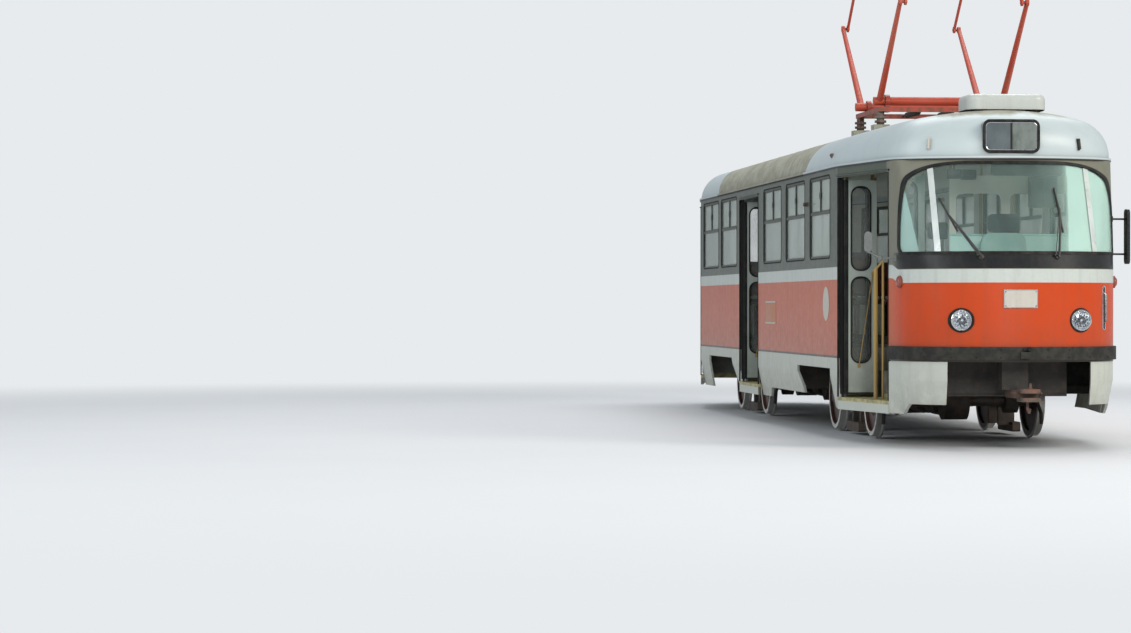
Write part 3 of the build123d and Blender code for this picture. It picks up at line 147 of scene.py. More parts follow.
# Grime, also used as painted shade in corners and joints
GRIME_AND_SHADE = (84, 76, 64)
RUST = (112, 58, 34)
# Near black of soot and dark joints, also used as painted shade in corners, under the ends and under the
# roof's edge
SOOT_AND_SHADE = (40, 38, 36)
LINING = (206, 208, 196)
PALE_SKY = (0.8, 0.83, 0.85, 1.0)


def linear(value):
    """Linear strength of one 0 to 255 value of a paint."""
    value = value / 255
    return value / 12.92 if value <= 0.04045 else ((value + 0.055) / 1.055) ** 2.4


def circle(count):
    """Cosine and sine of evenly spaced angles round a circle."""
    return [(math.cos(2 * math.pi * k / count), math.sin(2 * math.pi * k / count)) for k in range(count)]


def evenly(first, last, steps):
    """Numbers from the first to the last in equal steps."""
    return [first + (last - first) * k / steps for k in range(steps + 1)]


# Materials


class Finish:
    """One material and its node tree, with short calls for the nodes that it uses."""

    def __init__(self, name):
        self.material = bpy.data.materials.new(name)
        self.material.use_nodes = True
        self.tree = self.material.node_tree
        self.shader = self.tree.nodes["Principled BSDF"]
        self.place = self.node("TexCoord").outputs["Object"]
        self.x, self.y, self.z = self.node("SeparateXYZ", Vector=self.place).outputs

    def finish(self, colour, relief=None, **values):
        """The material, with its colour, the relief of its surface and further values of its shader."""
        self.put(self.shader.inputs["Base Color"], colour)
        if relief:
            self.put(self.shader.inputs["Normal"], relief)
        for name, value in values.items():
            self.put(self.shader.inputs[name.replace("_", " ")], value)
        return self.material

    def node(self, kind, **inputs):
        made = self.tree.nodes.new("ShaderNode" + kind)
        for name, value in inputs.items():
            self.put(made.inputs[name.replace("_", " ")], value)
        return made

    def put(self, socket, value):
        """Link a socket or give it a value. Three numbers are the 0 to 255 values of a paint."""
        if isinstance(value, bpy.types.NodeSocket):
            self.tree.links.new(value, socket)
        else:
            paint = isinstance(value, tuple) and len(value) == 3
            socket.default_value = (*map(linear, value), 1.0) if paint else value

    def math(self, operation, *values):
        made = self.node("Math")
        made.operation = operation
        for socket, value in zip(made.inputs, values):
            self.put(socket, value)
        return made.outputs[0]

    def plus(self, first, second):
        return self.math("ADD", first, second)

    def minus(self, first, second):
        return self.math("SUBTRACT", first, second)

    def both(self, first, second):
        return self.math("MULTIPLY", first, second)

    def size(self, value):
        return self.math("ABSOLUTE", value)

    def inverse(self, value):
        return self.minus(1.0, value)

    def length(self, first, second):
        return self.math("SQRT", self.plus(self.both(first, first), self.both(second, second)))

    def above(self, value, edge, soft=0.004):
        """0 below an edge and 1 above it, with a soft change."""
        made = self.node("MapRange", Value=value, From_Min=edge - soft, From_Max=edge + soft)
        made.interpolation_type = "SMOOTHSTEP"
        return made.outputs[0]

    def below(self, value, edge, soft=0.004):
        return self.inverse(self.above(value, edge, soft))

    def between(self, value, low, high, soft):
        return self.minus(self.above(value, low, soft), self.above(value, high, soft))

    def noise(self, scale, detail, stretch=None):
        place = self.place
        if stretch:
            mapping = self.node("Mapping", Vector=place)
            mapping.inputs["Scale"].default_value = stretch
            place = mapping.outputs[0]
        return self.node("TexNoise", Vector=place, Scale=scale, Detail=detail, Roughness=0.55).outputs["Fac"]

    def patches(self, scale, detail, edge, soft, stretch=None):
        """Soft-edged spots, where a noise is above an edge."""
        return self.above(self.noise(scale, detail, stretch), edge, soft)

    def cells(self, scale):
        return self.node("TexVoronoi", Vector=self.place, Scale=scale).outputs["Distance"]

    def mix(self, share, first, second):
        made = self.node("Mix", Factor=share)
        made.data_type = "RGBA"
        self.put(made.inputs[6], first)
        self.put(made.inputs[7], second)
        return made.outputs[2]

    def bump(self, height, strength, distance, **over):
        return self.node("Bump", Height=height, Strength=strength, Distance=distance, **over).outputs[0]

    def grain(self, scale, detail, strength, distance, **over):
        """Relief of a noise."""
        return self.bump(self.noise(scale, detail), strength, distance, **over)

    def dented(self, strength=0.12, scale=3.0):
        """Slight waves of thin sheet metal and orange peel of its paint."""
        return self.grain(160.0, 2.0, 0.05, 0.0006, Normal=self.grain(scale, 2.0, strength, 0.02))

    def rough(self, base, spread=0.12, scale=18.0):
        noise = self.noise(scale, 5.0)
        return self.node("MapRange", Value=noise, To_Min=base - spread, To_Max=base + spread).outputs[0]

    def hollow_grime_and_shade(self, reach=0.05):
        """1 in corners and joints, 0 on open faces: grime gathers there, and the darkening there is also
        painted shade.
        """
        made = self.node("AmbientOcclusion", Distance=reach)
        made.samples = 4
        return self.inverse(made.outputs["AO"])

    def edges(self):
        """1 on worn edges, from how far rounding the form turns its normal."""
        bevel = self.node("Bevel", Radius=0.004)
        bevel.samples = 4
        made = self.node("VectorMath")
        made.operation = "DOT_PRODUCT"
        self.put(made.inputs[0], bevel.outputs[0])
        self.put(made.inputs[1], self.node("NewGeometry").outputs["Normal"])
        return self.below(made.outputs["Value"], 0.93, 0.05)

    def normal_part(self, axis):
        """One part of the face's normal: 0 along the tram, 1 across it, 2 upward."""
        return self.node("SeparateXYZ", Vector=self.node("NewGeometry").outputs["Normal"]).outputs[axis]

    def weather(self, colour, amount, foot, streaks=0.35, fade=0.08):
        """Faded and dirty paint: broad fading, fine mottling, runs, road dirt near the ground, and darkening
        in corners and joints that is grime and painted shade.
        """
        tone = self.mix(self.both(self.patches(1.3, 3.0, 0.52, 0.22), fade), colour, (206, 198, 180))
        splash = self.both(self.below(self.z, foot, 0.35), self.patches(9.0, 6.0, 0.42, 0.2))
        runs = self.patches(7.0, 5.0, 0.58, 0.14, (2.2, 2.2, 0.16))
        # Grime in patches, runs, corners and road splash; in corners and joints the darkening is also painted
        # shade.
        for dirt, share in ((self.patches(34.0, 6.0, 0.6, 0.2), 0.18), (runs, streaks),
                            (self.hollow_grime_and_shade(), 0.8), (splash, 1.0)):
            tone = self.mix(self.both(dirt, amount * share), tone, GRIME_AND_SHADE)
        return tone


def body_paint(name):
    """Red body with its white belt and green-grey window band, a painted dark reflection in a band under the
    windscreen, and a painted shadow above the windscreen under the roof's edge.
    """
    skin = Finish(name)
    along = skin.size(skin.x)
    front = skin.above(along, FRONT_JOINT + 0.17, 0.1)
    height = skin.plus(skin.z, skin.both(front, 0.045))
    band = skin.mix(skin.above(along, POST_START, 0.02), BAND_GREEN, POST_GREY)
    # Band under the windscreen on the front: a painted dark reflection on the grey paint.
    dark = skin.both(front, skin.between(skin.z, FLANGE + 1.6, FLANGE + 1.75, 0.003))
    # Strip above the windscreen on the front: a painted shadow under the roof's edge.
    brow = skin.both(skin.above(along, 6.5, 0.06), skin.above(skin.z, SCREEN_TOP, 0.003))
    upper = skin.mix(skin.math("MAXIMUM", dark, brow), band, DARK_REFLECTION_AND_SHADOW)
    # The sides get a paler, greyer red than the ends: faded paint and a painted sheen of the sky on them.
    red = skin.mix(front, RED_FADED_WITH_SKY_SHEEN, RED)
    belt = skin.mix(skin.above(height, BELT_BOTTOM, 0.003), red, BELT_WHITE)
    colour = skin.mix(skin.above(height, BELT_TOP, 0.003), belt, upper)
    # Below the bumpers the ends are painted near black as the shade under the tram.
    colour = skin.mix(skin.below(skin.z, FLANGE + 0.79, 0.003), colour, SOOT_AND_SHADE)
    reach = skin.math("MAXIMUM", skin.minus(along, 5.7), 0.0)
    ahead = skin.both(skin.both(skin.normal_part(0), skin.math("SIGN", skin.x)), reach)
    outward = skin.plus(skin.both(skin.normal_part(1), skin.y), ahead)
    colour = skin.mix(skin.below(outward, -0.1, 0.02), colour, LINING)
    # Faces of the window and doorway recesses that look along the tram are painted dark green-grey as the
    # shade in them.
    reveal_shade = skin.both(skin.above(skin.size(skin.normal_part(0)), 0.9, 0.03),
                       skin.below(along, POST_START, 0.01))
    colour = skin.weather(skin.mix(reveal_shade, colour, (34, 40, 37)), 0.34, 0.98, 0.35, 0.02)
    chips = skin.both(skin.edges(), skin.patches(60.0, 4.0, 0.54, 0.05))
    return skin.finish(skin.mix(chips, colour, RUST), skin.dented(), Roughness=skin.rough(0.34, 0.1),
                       Specular_IOR_Level=0.22, Coat_Weight=0.04, Coat_Roughness=0.25)


def roof_paint(name):
    """White painted ends over a roof of weathered grey canvas and paint."""
    skin = Finish(name)
    wander = skin.both(skin.minus(skin.noise(3.0, 3.0), 0.5), 0.12)
    lean = skin.both(skin.minus(skin.z, ROOF_BASE), 0.9)
    ahead = skin.above(skin.minus(skin.plus(skin.x, wander), lean), 2.88, 0.02)
    behind = skin.below(skin.plus(skin.x, lean), -3.1, 0.02)
    side = skin.below(skin.plus(skin.z, wander), FLANGE + 3.0, 0.025)
    white = skin.both(skin.plus(ahead, behind), side)
    bare = skin.inverse(white)
    grey = skin.mix(skin.patches(2.4, 6.0, 0.5, 0.12, (1.0, 1.0, 3.0)), ROOF_GREY, (142, 140, 124))
    grey = skin.mix(skin.both(skin.patches(11.0, 7.0, 0.6, 0.08), 0.5), grey, (176, 174, 160))
    runs = skin.patches(5.0, 6.0, 0.56, 0.16, (2.4, 0.7, 0.35))
    stain = skin.both(runs, skin.plus(skin.both(bare, 0.2), 0.05))
    colour = skin.mix(stain, skin.mix(white, grey, ROOF_WHITE), GRIME_AND_SHADE)
    # Corners and joints darken with grime and with painted shade.
    colour = skin.mix(skin.both(skin.hollow_grime_and_shade(0.06), 0.6), colour, GRIME_AND_SHADE)
    # The lowest centimetre under the roof's edge is painted near black as the shade there.
    colour = skin.mix(skin.below(skin.z, ROOF_BASE + 0.01), colour, SOOT_AND_SHADE)
    inside = skin.both(skin.below(skin.normal_part(2), -0.2, 0.05),
                       skin.above(skin.z, ROOF_BASE + 0.02, 0.005))
    colour = skin.mix(inside, colour, LINING)
    rust = skin.both(skin.both(skin.patches(26.0, 6.0, 0.68, 0.04), bare), 0.6)
    gloss = skin.mix(white, (0.8, 0.8, 0.8, 1.0), (0.38, 0.38, 0.38, 1.0))
    return skin.finish(skin.mix(rust, colour, RUST), skin.dented(0.16, 2.0), Roughness=gloss)


def plain_paint(name, colour, amount, rough, foot=0.2, wear=False):
    """Painted metal of one colour, weathered."""
    skin = Finish(name)
    tone = skin.weather(colour, amount, foot)
    if wear:
        tone = skin.mix(skin.both(skin.edges(), skin.patches(70.0, 4.0, 0.5, 0.06)), tone, RUST)
    return skin.finish(tone, skin.dented(0.1), Roughness=skin.rough(rough))


def iron(name, colour, rust=0.5, dust=0.5, rough=0.7, bloom=(78, 54, 42)):
    """Dark castings and steel under road dust, with rust coming through."""
    skin = Finish(name)
    tone = skin.mix(skin.patches(14.0, 7.0, 0.62 - rust * 0.2, 0.08), colour, bloom)
    tone = skin.mix(skin.both(skin.patches(4.0, 5.0, 0.42, 0.2), dust), tone, (104, 96, 84))
    # Corners and hollows darken with soot and with painted shade.
    tone = skin.mix(skin.both(skin.hollow_grime_and_shade(0.04), 0.7), tone, SOOT_AND_SHADE)
    return skin.finish(tone, skin.grain(90.0, 6.0, 0.35, 0.003), Roughness=skin.rough(rough, 0.1))


def rubber(name, colour, rough, dusty):
    skin = Finish(name)
    tone = skin.mix(skin.both(skin.patches(12.0, 6.0, 0.5, 0.15), dusty), colour, (118, 112, 102))
    return skin.finish(tone, skin.grain(220.0, 4.0, 0.25, 0.0008), Roughness=skin.rough(rough),
                       Specular_IOR_Level=0.22)


def window_frame(name):
    """Grey window frames, with black rubber on the faces that look along the wall."""
    skin = Finish(name)
    tone = skin.weather((64, 72, 62), 0.3, 0.3, 0.3, 0.03)
    along = skin.above(skin.size(skin.normal_part(0)), 0.55, 0.1)
    return skin.finish(skin.mix(along, tone, (20, 22, 21)), skin.dented(0.08), Roughness=skin.rough(0.45),
                       Specular_IOR_Level=0.35)


def glass(name, tint, clear, dust, dust_colour=(150, 156, 146)):
    """Window glass: a tinted see-through body, more mirror-like at a slant, with dust and wiped marks."""
    skin = Finish(name)
    slant = skin.node("Fresnel", IOR=1.5).outputs[0]
    film = skin.both(skin.patches(5.0, 6.0, 0.5, 0.2, (1.0, 1.0, 0.5)), dust)
    haze = skin.plus(film, skin.both(skin.patches(22.0, 5.0, 0.5, 0.3), dust * 0.15))
    body = skin.plus(skin.both(slant, 0.75), 1.0 - clear)
    cover = skin.math("MINIMUM", skin.plus(body, haze), 1.0)
    return skin.finish(skin.mix(haze, tint, dust_colour), Alpha=cover,
                       Roughness=skin.plus(skin.both(haze, 0.35), 0.04), Specular_IOR_Level=0.9)


def bright_metal(name, colour, rough):
    skin = Finish(name)
    tone = skin.mix(skin.both(skin.patches(40.0, 6.0, 0.6, 0.08), 0.5), colour, (96, 84, 72))
    return skin.finish(tone, skin.grain(150.0, 3.0, 0.1, 0.0006), Roughness=skin.rough(rough, 0.08, 30.0),
                       Metallic=1.0)


def seam_strip(name):
    """Pale strips over the joints of the windscreen."""
    skin = Finish(name)
    worn = skin.patches(9.0, 4.0, 0.5, 0.2, (1.0, 1.0, 0.3))
    tone = skin.mix(skin.both(worn, 0.5), (206, 212, 208), (160, 168, 164))
    return skin.finish(tone, skin.grain(60.0, 3.0, 0.1, 0.001), Roughness=skin.rough(0.3, 0.08),
                       Metallic=0.25)


def door_paint(name):
    """Grey folding leaves, black along the edges that stand next to the wall when they are open."""
    skin = Finish(name)
    past = skin.math("MAXIMUM", skin.minus(skin.size(skin.x), TAPER_START), 0.0)
    depth = skin.minus(skin.y, skin.minus(skin.both(past, math.tan(TAPER_ANGLE)), HALF_WIDTH))
    tone = skin.weather((166, 175, 168), 0.25, 0.8)
    return skin.finish(skin.mix(skin.above(depth, 0.073, 0.001), (24, 25, 25), tone), skin.dented(0.1),
                       Roughness=skin.rough(0.45), Specular_IOR_Level=0.3)


def mirror_plastic(name):
    """Black plastic, with grey paint on the mirror of the door side."""
    skin = Finish(name)
    tone = skin.mix(skin.below(skin.y, -0.95, 0.01), (26, 27, 28), (112, 116, 112))
    tone = skin.mix(skin.both(skin.patches(30.0, 4.0, 0.55, 0.1), 0.15), tone, GRIME_AND_SHADE)
    return skin.finish(tone, skin.grain(200.0, 3.0, 0.15, 0.0006), Roughness=skin.rough(0.45),
                       Specular_IOR_Level=0.3)


def wheel_steel(name):
    """Rolled steel wheel: bright tread and flange, a white ring painted on the rim, a rusty web."""
    skin = Finish(name)
    high = skin.minus(skin.z, AXLE_Z)
    radii = [skin.length(skin.minus(skin.x, x), high) for x in AXLES.values()]
    nearest = radii[0]
    for other in radii[1:]:
        nearest = skin.math("MINIMUM", nearest, other)
    outer = skin.above(skin.size(skin.y), 0.8)
    ring = skin.both(outer, skin.between(nearest, 0.302, 0.343, 0.003))
    ring = skin.both(ring, skin.inverse(skin.both(skin.patches(26.0, 5.0, 0.62, 0.05), 0.8)))
    tone = skin.mix(skin.patches(12.0, 6.0, 0.45, 0.15), (46, 42, 40), (78, 50, 40))
    tone = skin.mix(ring, tone, (206, 206, 198))
    tread = skin.above(nearest, 0.3475, 0.0015)
    return skin.finish(skin.mix(tread, tone, (168, 166, 162)), skin.grain(60.0, 5.0, 0.2, 0.002),
                       Roughness=skin.rough(0.45), Metallic=skin.both(tread, 0.9))


def fabric(name, colour, other):
    """Woven cover, with a ribbed weave and worn patches."""
    skin = Finish(name)
    return skin.finish(skin.mix(skin.both(skin.patches(6.0, 4.0, 0.5, 0.15), 0.4), colour, other),
                       skin.bump(skin.cells(420.0), 0.4, 0.0015), Roughness=0.9, Sheen_Weight=0.3)


def leather(name, colour):
    """Padded seat covers of artificial leather, with grain and cracks."""
    skin = Finish(name)
    tone = skin.mix(skin.patches(9.0, 5.0, 0.5, 0.2), colour, (62, 26, 22))
    crack = skin.below(skin.cells(90.0), 0.06, 0.05)
    return skin.finish(skin.mix(crack, tone, (120, 96, 80)), skin.bump(skin.cells(300.0), 0.2, 0.001),
                       Roughness=skin.rough(0.42))


def floor_covering(name):
    """Ribbed dark floor covering, dusty along the walls."""
    skin = Finish(name)
    ribs = skin.math("SINE", skin.both(skin.y, 420.0))
    tone = skin.mix(skin.both(skin.patches(5.0, 6.0, 0.5, 0.2), 0.5), (62, 60, 58), (116, 108, 96))
    return skin.finish(tone, skin.bump(ribs, 0.4, 0.002), Roughness=0.75)


def step_paint(name):
    """Grey checker-plate steps with yellow safety edges and the skirts' white on their outer face."""
    skin = Finish(name)
    edge = skin.below(skin.size(skin.minus(skin.z, SILL_TOP)), 0.032)
    tone = skin.mix(skin.patches(7.0, 6.0, 0.5, 0.2), (128, 128, 120), (96, 92, 82))
    yellow = skin.mix(skin.patches(16.0, 5.0, 0.5, 0.12), (176, 168, 116), (140, 132, 98))
    outer = skin.above(skin.size(skin.normal_part(1)), 0.7, 0.05)
    tone = skin.mix(skin.both(outer, skin.below(skin.z, SILL_TOP - 0.03)), tone, SKIRT_WHITE)
    tone = skin.mix(edge, tone, yellow)
    # Corners and joints darken with grime and with painted shade.
    tone = skin.mix(skin.both(skin.hollow_grime_and_shade(), 0.7), tone, GRIME_AND_SHADE)
    studs = skin.above(skin.cells(46.0), 0.3, 0.05)
    return skin.finish(tone, skin.bump(studs, 0.4, 0.003), Roughness=skin.rough(0.55))


def lamp_glass(name, lens, other):
    """Round lamp: a bright bezel round a ribbed lens over its faceted bowl, with painted reflections of the
    reflector in rings: a bright centre, a dark ring and a bright outer ring.
    """
    skin = Finish(name)
    radius = skin.length(skin.minus(skin.size(skin.y), LAMP_Y), skin.minus(skin.z, LAMP_Z))
    bezel = skin.above(radius, LAMP_RADIUS - 0.0155, 0.0008)
    bowl = skin.mix(skin.above(skin.cells(60.0), 0.55, 0.15), lens, other)
    # Painted reflections in the bowl: a dark ring, a bright outer ring and a bright centre.
    bowl = skin.mix(skin.both(skin.between(radius, 0.013, 0.038, 0.006), 0.8), bowl, (38, 42, 48))
    bowl = skin.mix(skin.both(skin.above(radius, 0.066, 0.008), 0.5), bowl, other)
    bowl = skin.mix(skin.below(radius, 0.010), bowl, other)
    dust = skin.both(skin.patches(30.0, 5.0, 0.55, 0.1), 0.25)
    tone = skin.mix(dust, skin.mix(bezel, bowl, (205, 207, 208)), (116, 108, 98))
    ribs = skin.math("SINE", skin.both(skin.y, 620.0))
    relief = skin.both(skin.plus(ribs, skin.cells(70.0)), skin.inverse(bezel))
    return skin.finish(tone, skin.bump(relief, 0.5, 0.0025), Roughness=skin.rough(0.14, 0.06, 40.0),
                       Metallic=skin.plus(skin.both(bezel, 0.65), 0.25), Coat_Weight=1.0)


def route_window(name):
    """Dark glass of the route box in two halves, with a bare roll blind behind one of them."""
    skin = Finish(name)
    half = skin.above(skin.both(skin.y, skin.math("SIGN", skin.x)), 0.0, 0.002)
    cloud = skin.patches(5.0, 5.0, 0.5, 0.2, (1.0, 1.0, 0.6))
    blind = skin.mix(cloud, (92, 100, 102), (72, 80, 82))
    tone = skin.mix(half, blind, skin.mix(cloud, (48, 54, 54), (116, 124, 118)))
    return skin.finish(skin.mix(skin.below(skin.size(skin.y), 0.006, 0.001), tone, SOOT_AND_SHADE),
                       Roughness=skin.rough(0.16, 0.08), Coat_Weight=0.6)


def base_frame(name):
    """Red oxide frame over glazed brown insulators."""
    skin = Finish(name)
    tone = skin.mix(skin.patches(16.0, 6.0, 0.52, 0.1), (158, 54, 34), RUST)
    glaze = skin.mix(skin.patches(9.0, 5.0, 0.55, 0.15), (74, 42, 30), (112, 100, 90))
    tone = skin.mix(skin.below(skin.z, PANTOGRAPH_BASE - 0.003, 0.002), tone, glaze)
    # Corners and joints darken with soot and with painted shade.
    tone = skin.mix(skin.both(skin.hollow_grime_and_shade(0.04), 0.6), tone, SOOT_AND_SHADE)
    return skin.finish(tone, skin.grain(90.0, 5.0, 0.2, 0.002), Roughness=skin.rough(0.42))


def collector(name):
    """Red oxide collector head with bare contact strips on top."""
    skin = Finish(name)
    strip = skin.above(skin.z, FLANGE + 5.2, 0.003)
    tone = skin.mix(skin.patches(20.0, 6.0, 0.48, 0.1), (150, 46, 30), RUST)
    return skin.finish(skin.mix(strip, tone, (120, 110, 104)), skin.grain(80.0, 4.0, 0.3, 0.002),
                       Roughness=skin.rough(0.5), Metallic=skin.both(strip, 0.8))


# Each finish by its name, which is the slot's name in the record where a slot uses it
FINISHES = {
    "body_paint": (body_paint,),
    "roof_paint": (roof_paint,),
    # The windscreen's faint pale teal film is dust and a painted reflection.
    "screen_glass": (glass, (206, 236, 227), 0.985, 0.03, (196, 218, 210)),
    "side_glass": (glass, (196, 206, 196), 0.9, 0.1, (196, 204, 192)),
    "window_frame": (window_frame,),
    "floor_covering": (floor_covering,),
    "step_paint": (step_paint,),
    "skirt_paint": (plain_paint, SKIRT_WHITE, 0.3, 0.45, 0.55, True),
    "bumper_rubber": (rubber, (38, 38, 35), 0.7, 0.12),
    "chassis": (iron, (30, 29, 30), 0.15, 0.22, 0.7, (54, 42, 36)),
    "coupler_iron": (iron, (72, 60, 52), 0.5, 0.3, 0.65, (112, 70, 52)),
    "equipment": (iron, (50, 50, 50), 0.2, 0.45),
    "lamp": (lamp_glass, (56, 64, 74), (178, 188, 198)),
    "tail_lamp": (lamp_glass, (120, 18, 14), (176, 34, 24)),
    "screen_seal": (rubber, (20, 21, 22), 0.5, 0.1),
    "seam_strip": (seam_strip,),
    "route_box": (route_window,),
    "vent_housing": (plain_paint, (182, 187, 182), 0.25, 0.35),
    "mirror_plastic": (mirror_plastic,),
    "seat_cover": (leather, (116, 48, 38)),
    "driver_fabric": (fabric, (22, 28, 34), (36, 42, 50)),
    "driver_cover": (fabric, (150, 196, 184), (182, 206, 196)),
    "cab_panel": (plain_paint, (170, 220, 208), 0.15, 0.4),
    "cab_cabinet": (plain_paint, (28, 40, 44), 0.15, 0.4),
    "desk": (plain_paint, (138, 184, 172), 0.3, 0.4),
    "partition": (plain_paint, (206, 210, 196), 0.15, 0.45),
    "handrail": (plain_paint, (166, 134, 70), 0.4, 0.4, 0.6, True),
    "pantograph_base": (base_frame,),
    "pantograph_paint": (plain_paint, (176, 60, 34), 0.5, 0.5, 0.2, True),
    "collector": (collector,),
    "door_paint": (door_paint,),
    "bogie": (iron, (42, 40, 38), 0.35, 0.45),
    "motor": (iron, (48, 46, 44), 0.2, 0.5),
    "brake_iron": (iron, (58, 50, 44), 0.35, 0.4),
    "wheel_steel": (wheel_steel,),
    "axle_steel": (iron, (78, 74, 70), 0.3, 0.3, 0.5),
    "gasket": (rubber, (24, 25, 25), 0.78, 0.1),
    "chrome": (bright_metal, (196, 198, 200), 0.18),
    "mirror_face": (bright_metal, (200, 206, 210), 0.05),
    "leaf_glass": (glass, (172, 178, 172), 0.93, 0.06),
    "blank_plate": (plain_paint, (188, 182, 172), 0.4, 0.5),
    "plate_red": (plain_paint, (184, 122, 92), 0.4, 0.5),
    "wiper_steel": (plain_paint, (30, 31, 33), 0.2, 0.4),
    "lamp_ring": (plain_paint, (134, 56, 40), 0.4, 0.5),
    "amber_lens": (glass, (132, 44, 28), 0.1, 0.1),
}


# Forms


class Shape:
    """A mesh gathered from simple forms, in the frame's metres or in those of a place."""

    def __init__(self):
        self.mesh = bmesh.new()

    def block(self, low, high, edge, place=Matrix()):
        """Box between two corners, with rounded edges."""
        low, high = Vector(low), Vector(high)
        spot = place @ Matrix.Translation((low + high) / 2) @ Matrix.Diagonal((*(high - low), 1.0))
        made = bmesh.ops.create_cube(self.mesh, size=1.0, matrix=spot)
        edges = list(dict.fromkeys(e for v in made["verts"] for e in v.link_edges))
        bmesh.ops.bevel(self.mesh, geom=edges, offset=edge, segments=2, affect="EDGES", profile=0.5)

    def rings(self, rows, closed=False):
        """Skin over rows of points, all of one length, with ends where it isn't closed on itself."""
        made = [[self.mesh.verts.new(point) for point in row] for row in rows]
        count = len(made[0])
        for first, second in zip(made, made[1:] + made[:1] if closed else made[1:]):
            for k in range(count):
                n = (k + 1) % count
                self.mesh.faces.new((first[k], first[n], second[n], second[k]))
        if not closed:
            self.mesh.faces.new(list(reversed(made[0])))
            self.mesh.faces.new(made[-1])

    def tube(self, points, radius, sides, place=Matrix(), closed=False, flat=1.0, up=None):
        """Round bar along points. flat narrows it along its second direction."""
        points = [place @ Vector(p) for p in points]
        count = len(points)
        radii = radius if isinstance(radius, list) else [radius] * count
        rows = []
        across = Vector(up) if up else None
        for k, point in enumerate(points):
            before = points[k - 1] if k or closed else point
            after = points[(k + 1) % count] if k < count - 1 or closed else point
            run = (after - before).normalized()
            if across is None:
                across = run.orthogonal()
            across = (across - run * across.dot(run)).normalized()
            other = run.cross(across)
            rows.append([point + (across * c + other * s * flat) * radii[k] for c, s in circle(sides)])
        self.rings(rows, closed)

    def lathe(self, profile, place, sides=28):
        """Turned form about the place's Z, from (radius, height) pairs."""
        self.rings([[place @ Vector((max(radius, 1e-4) * c, max(radius, 1e-4) * s, height))
                     for c, s in circle(sides)] for radius, height in profile])

    def disc(self, radius, low, high, place, sides):
        """Plain round bar along the place's Z."""
        self.lathe([(0, low), (radius, low), (radius, high), (0, high)], place, sides)

    def plate(self, outline, place, depth):
        """Flat plate on an outline in the place's XY, as thick as depth along its Z."""
        self.rings([[place @ Vector((x, y, z)) for x, y in outline] for z in (0.0, depth)])

    def bead(self, outline, place, radius, sides=8, flat=1.0):
        """Round bead along a closed outline in the place's XY."""
        up = place.to_3x3() @ Vector((0, 0, 1))
        self.tube([(x, y, 0.0) for x, y in outline], radius, sides, place, True, flat, up)

    def helix(self, start, end, radius, wire, turns):
        """Coil spring from one point to another."""
        run = end - start
        place = facing(start, run, (0, 0, 1) if abs(run.normalized().z) < 0.9 else (1, 0, 0))
        count = turns * 14
        angles = [2 * math.pi * turns * k / count for k in range(count + 1)]
        self.tube([(radius * math.cos(a), radius * math.sin(a), run.length * k / count)
                   for k, a in enumerate(angles)], wire, 6, place)

    def pad(self, width, depth, thickness, place, crown):
        """Crowned cushion on the place's XY: sides pulled in between its corners, and a piped seam."""
        outline = []
        for c, s in circle(36):
            pull = 1 - 0.02 * (c * c - s * s) ** 2
            outline.append((math.copysign(abs(c) ** 0.4, c) * width / 2 * pull,
                            math.copysign(abs(s) ** 0.4, s) * depth / 2 * pull))
        # Share of the outline and height of each level, from the underside to the middle of the top
        levels = [(0.95, 0.0), (1.0, 0.25 * thickness), (1.0, 0.7 * thickness), (0.98, 0.92 * thickness),
                  (0.95, thickness), (0.90, thickness + 0.10 * crown), (0.72, thickness + 0.60 * crown),
                  (0.45, thickness + 0.90 * crown), (0.15, thickness + crown)]
        self.rings([[place @ Vector((x * share, y * share, z)) for x, y in outline] for share, z in levels])
        self.tube([(x * 0.985, y * 0.985, 0.9 * thickness) for x, y in outline], 0.004, 6, place, True)

    def build(self, name, material, slot, body="root"):
        """The finished piece, riding on its body."""
        bmesh.ops.recalc_face_normals(self.mesh, faces=self.mesh.faces)
        data = bpy.data.meshes.new(name)
        self.mesh.to_mesh(data)
        self.mesh.free()
        data.materials.append(MATERIALS[material])
        data.shade_smooth()
        data.set_sharp_from_angle(angle=math.radians(35))
        piece = bpy.data.objects.new(name, data)
        bpy.context.scene.collection.objects.link(piece)
        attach(piece, body)
        return piece


def rounded(width, height, corner, steps):
    """Outline of a rectangle with round corners about the origin."""
    points = []
    for k, (sx, sy) in enumerate(((1, 1), (-1, 1), (-1, -1), (1, -1))):
        for s in range(steps + 1):
            angle = math.pi / 2 * (k + s / steps)
            points.append((sx * (width / 2 - corner) + corner * math.cos(angle),
                           sy * (height / 2 - corner) + corner * math.sin(angle)))
    return points


def moved(x, y=0.0, z=0.0):
    return Matrix.Translation((x, y, z))


def facing(point, outward, up=(0, 0, 1)):
    """Place whose Z points outward from a point, and whose Y is upward."""
    z = Vector(outward).normalized()
    x = Vector(up).cross(z).normalized()
    return Matrix.Translation(point) @ Matrix((x, z.cross(x), z)).transposed().to_4x4()


def turned(x, y, degrees):
    """Turn about an upright axis."""
    return moved(x, y) @ Matrix.Rotation(math.radians(degrees), 4, "Z") @ moved(-x, -y)


def wall_place(side, station):
    """Place on the side's outer skin: local X along the wall towards the front, local Z up."""
    run = abs(station) - TAPER_START
    if run <= 0:
        return moved(station, side * HALF_WIDTH)
    end = 1 if station > 0 else -1
    turn = Matrix.Rotation(-side * end * TAPER_ANGLE, 4, "Z")
    return moved(end * TAPER_START, side * HALF_WIDTH) @ turn @ moved(end * run)


def wall_facing(side, station, height, proud=0.0):
    """Place on a side's outer skin: local Y up and Z outward."""
    place = wall_place(side, station)
    return facing(place @ Vector((0, side * proud, height)), place.to_3x3() @ Vector((0, side, 0)))


def doorways():
    """Place of each doorway on the right side, from the front."""
    return [wall_place(-1, station) for station in (END_DOOR, MIDDLE_DOOR, -END_DOOR)]


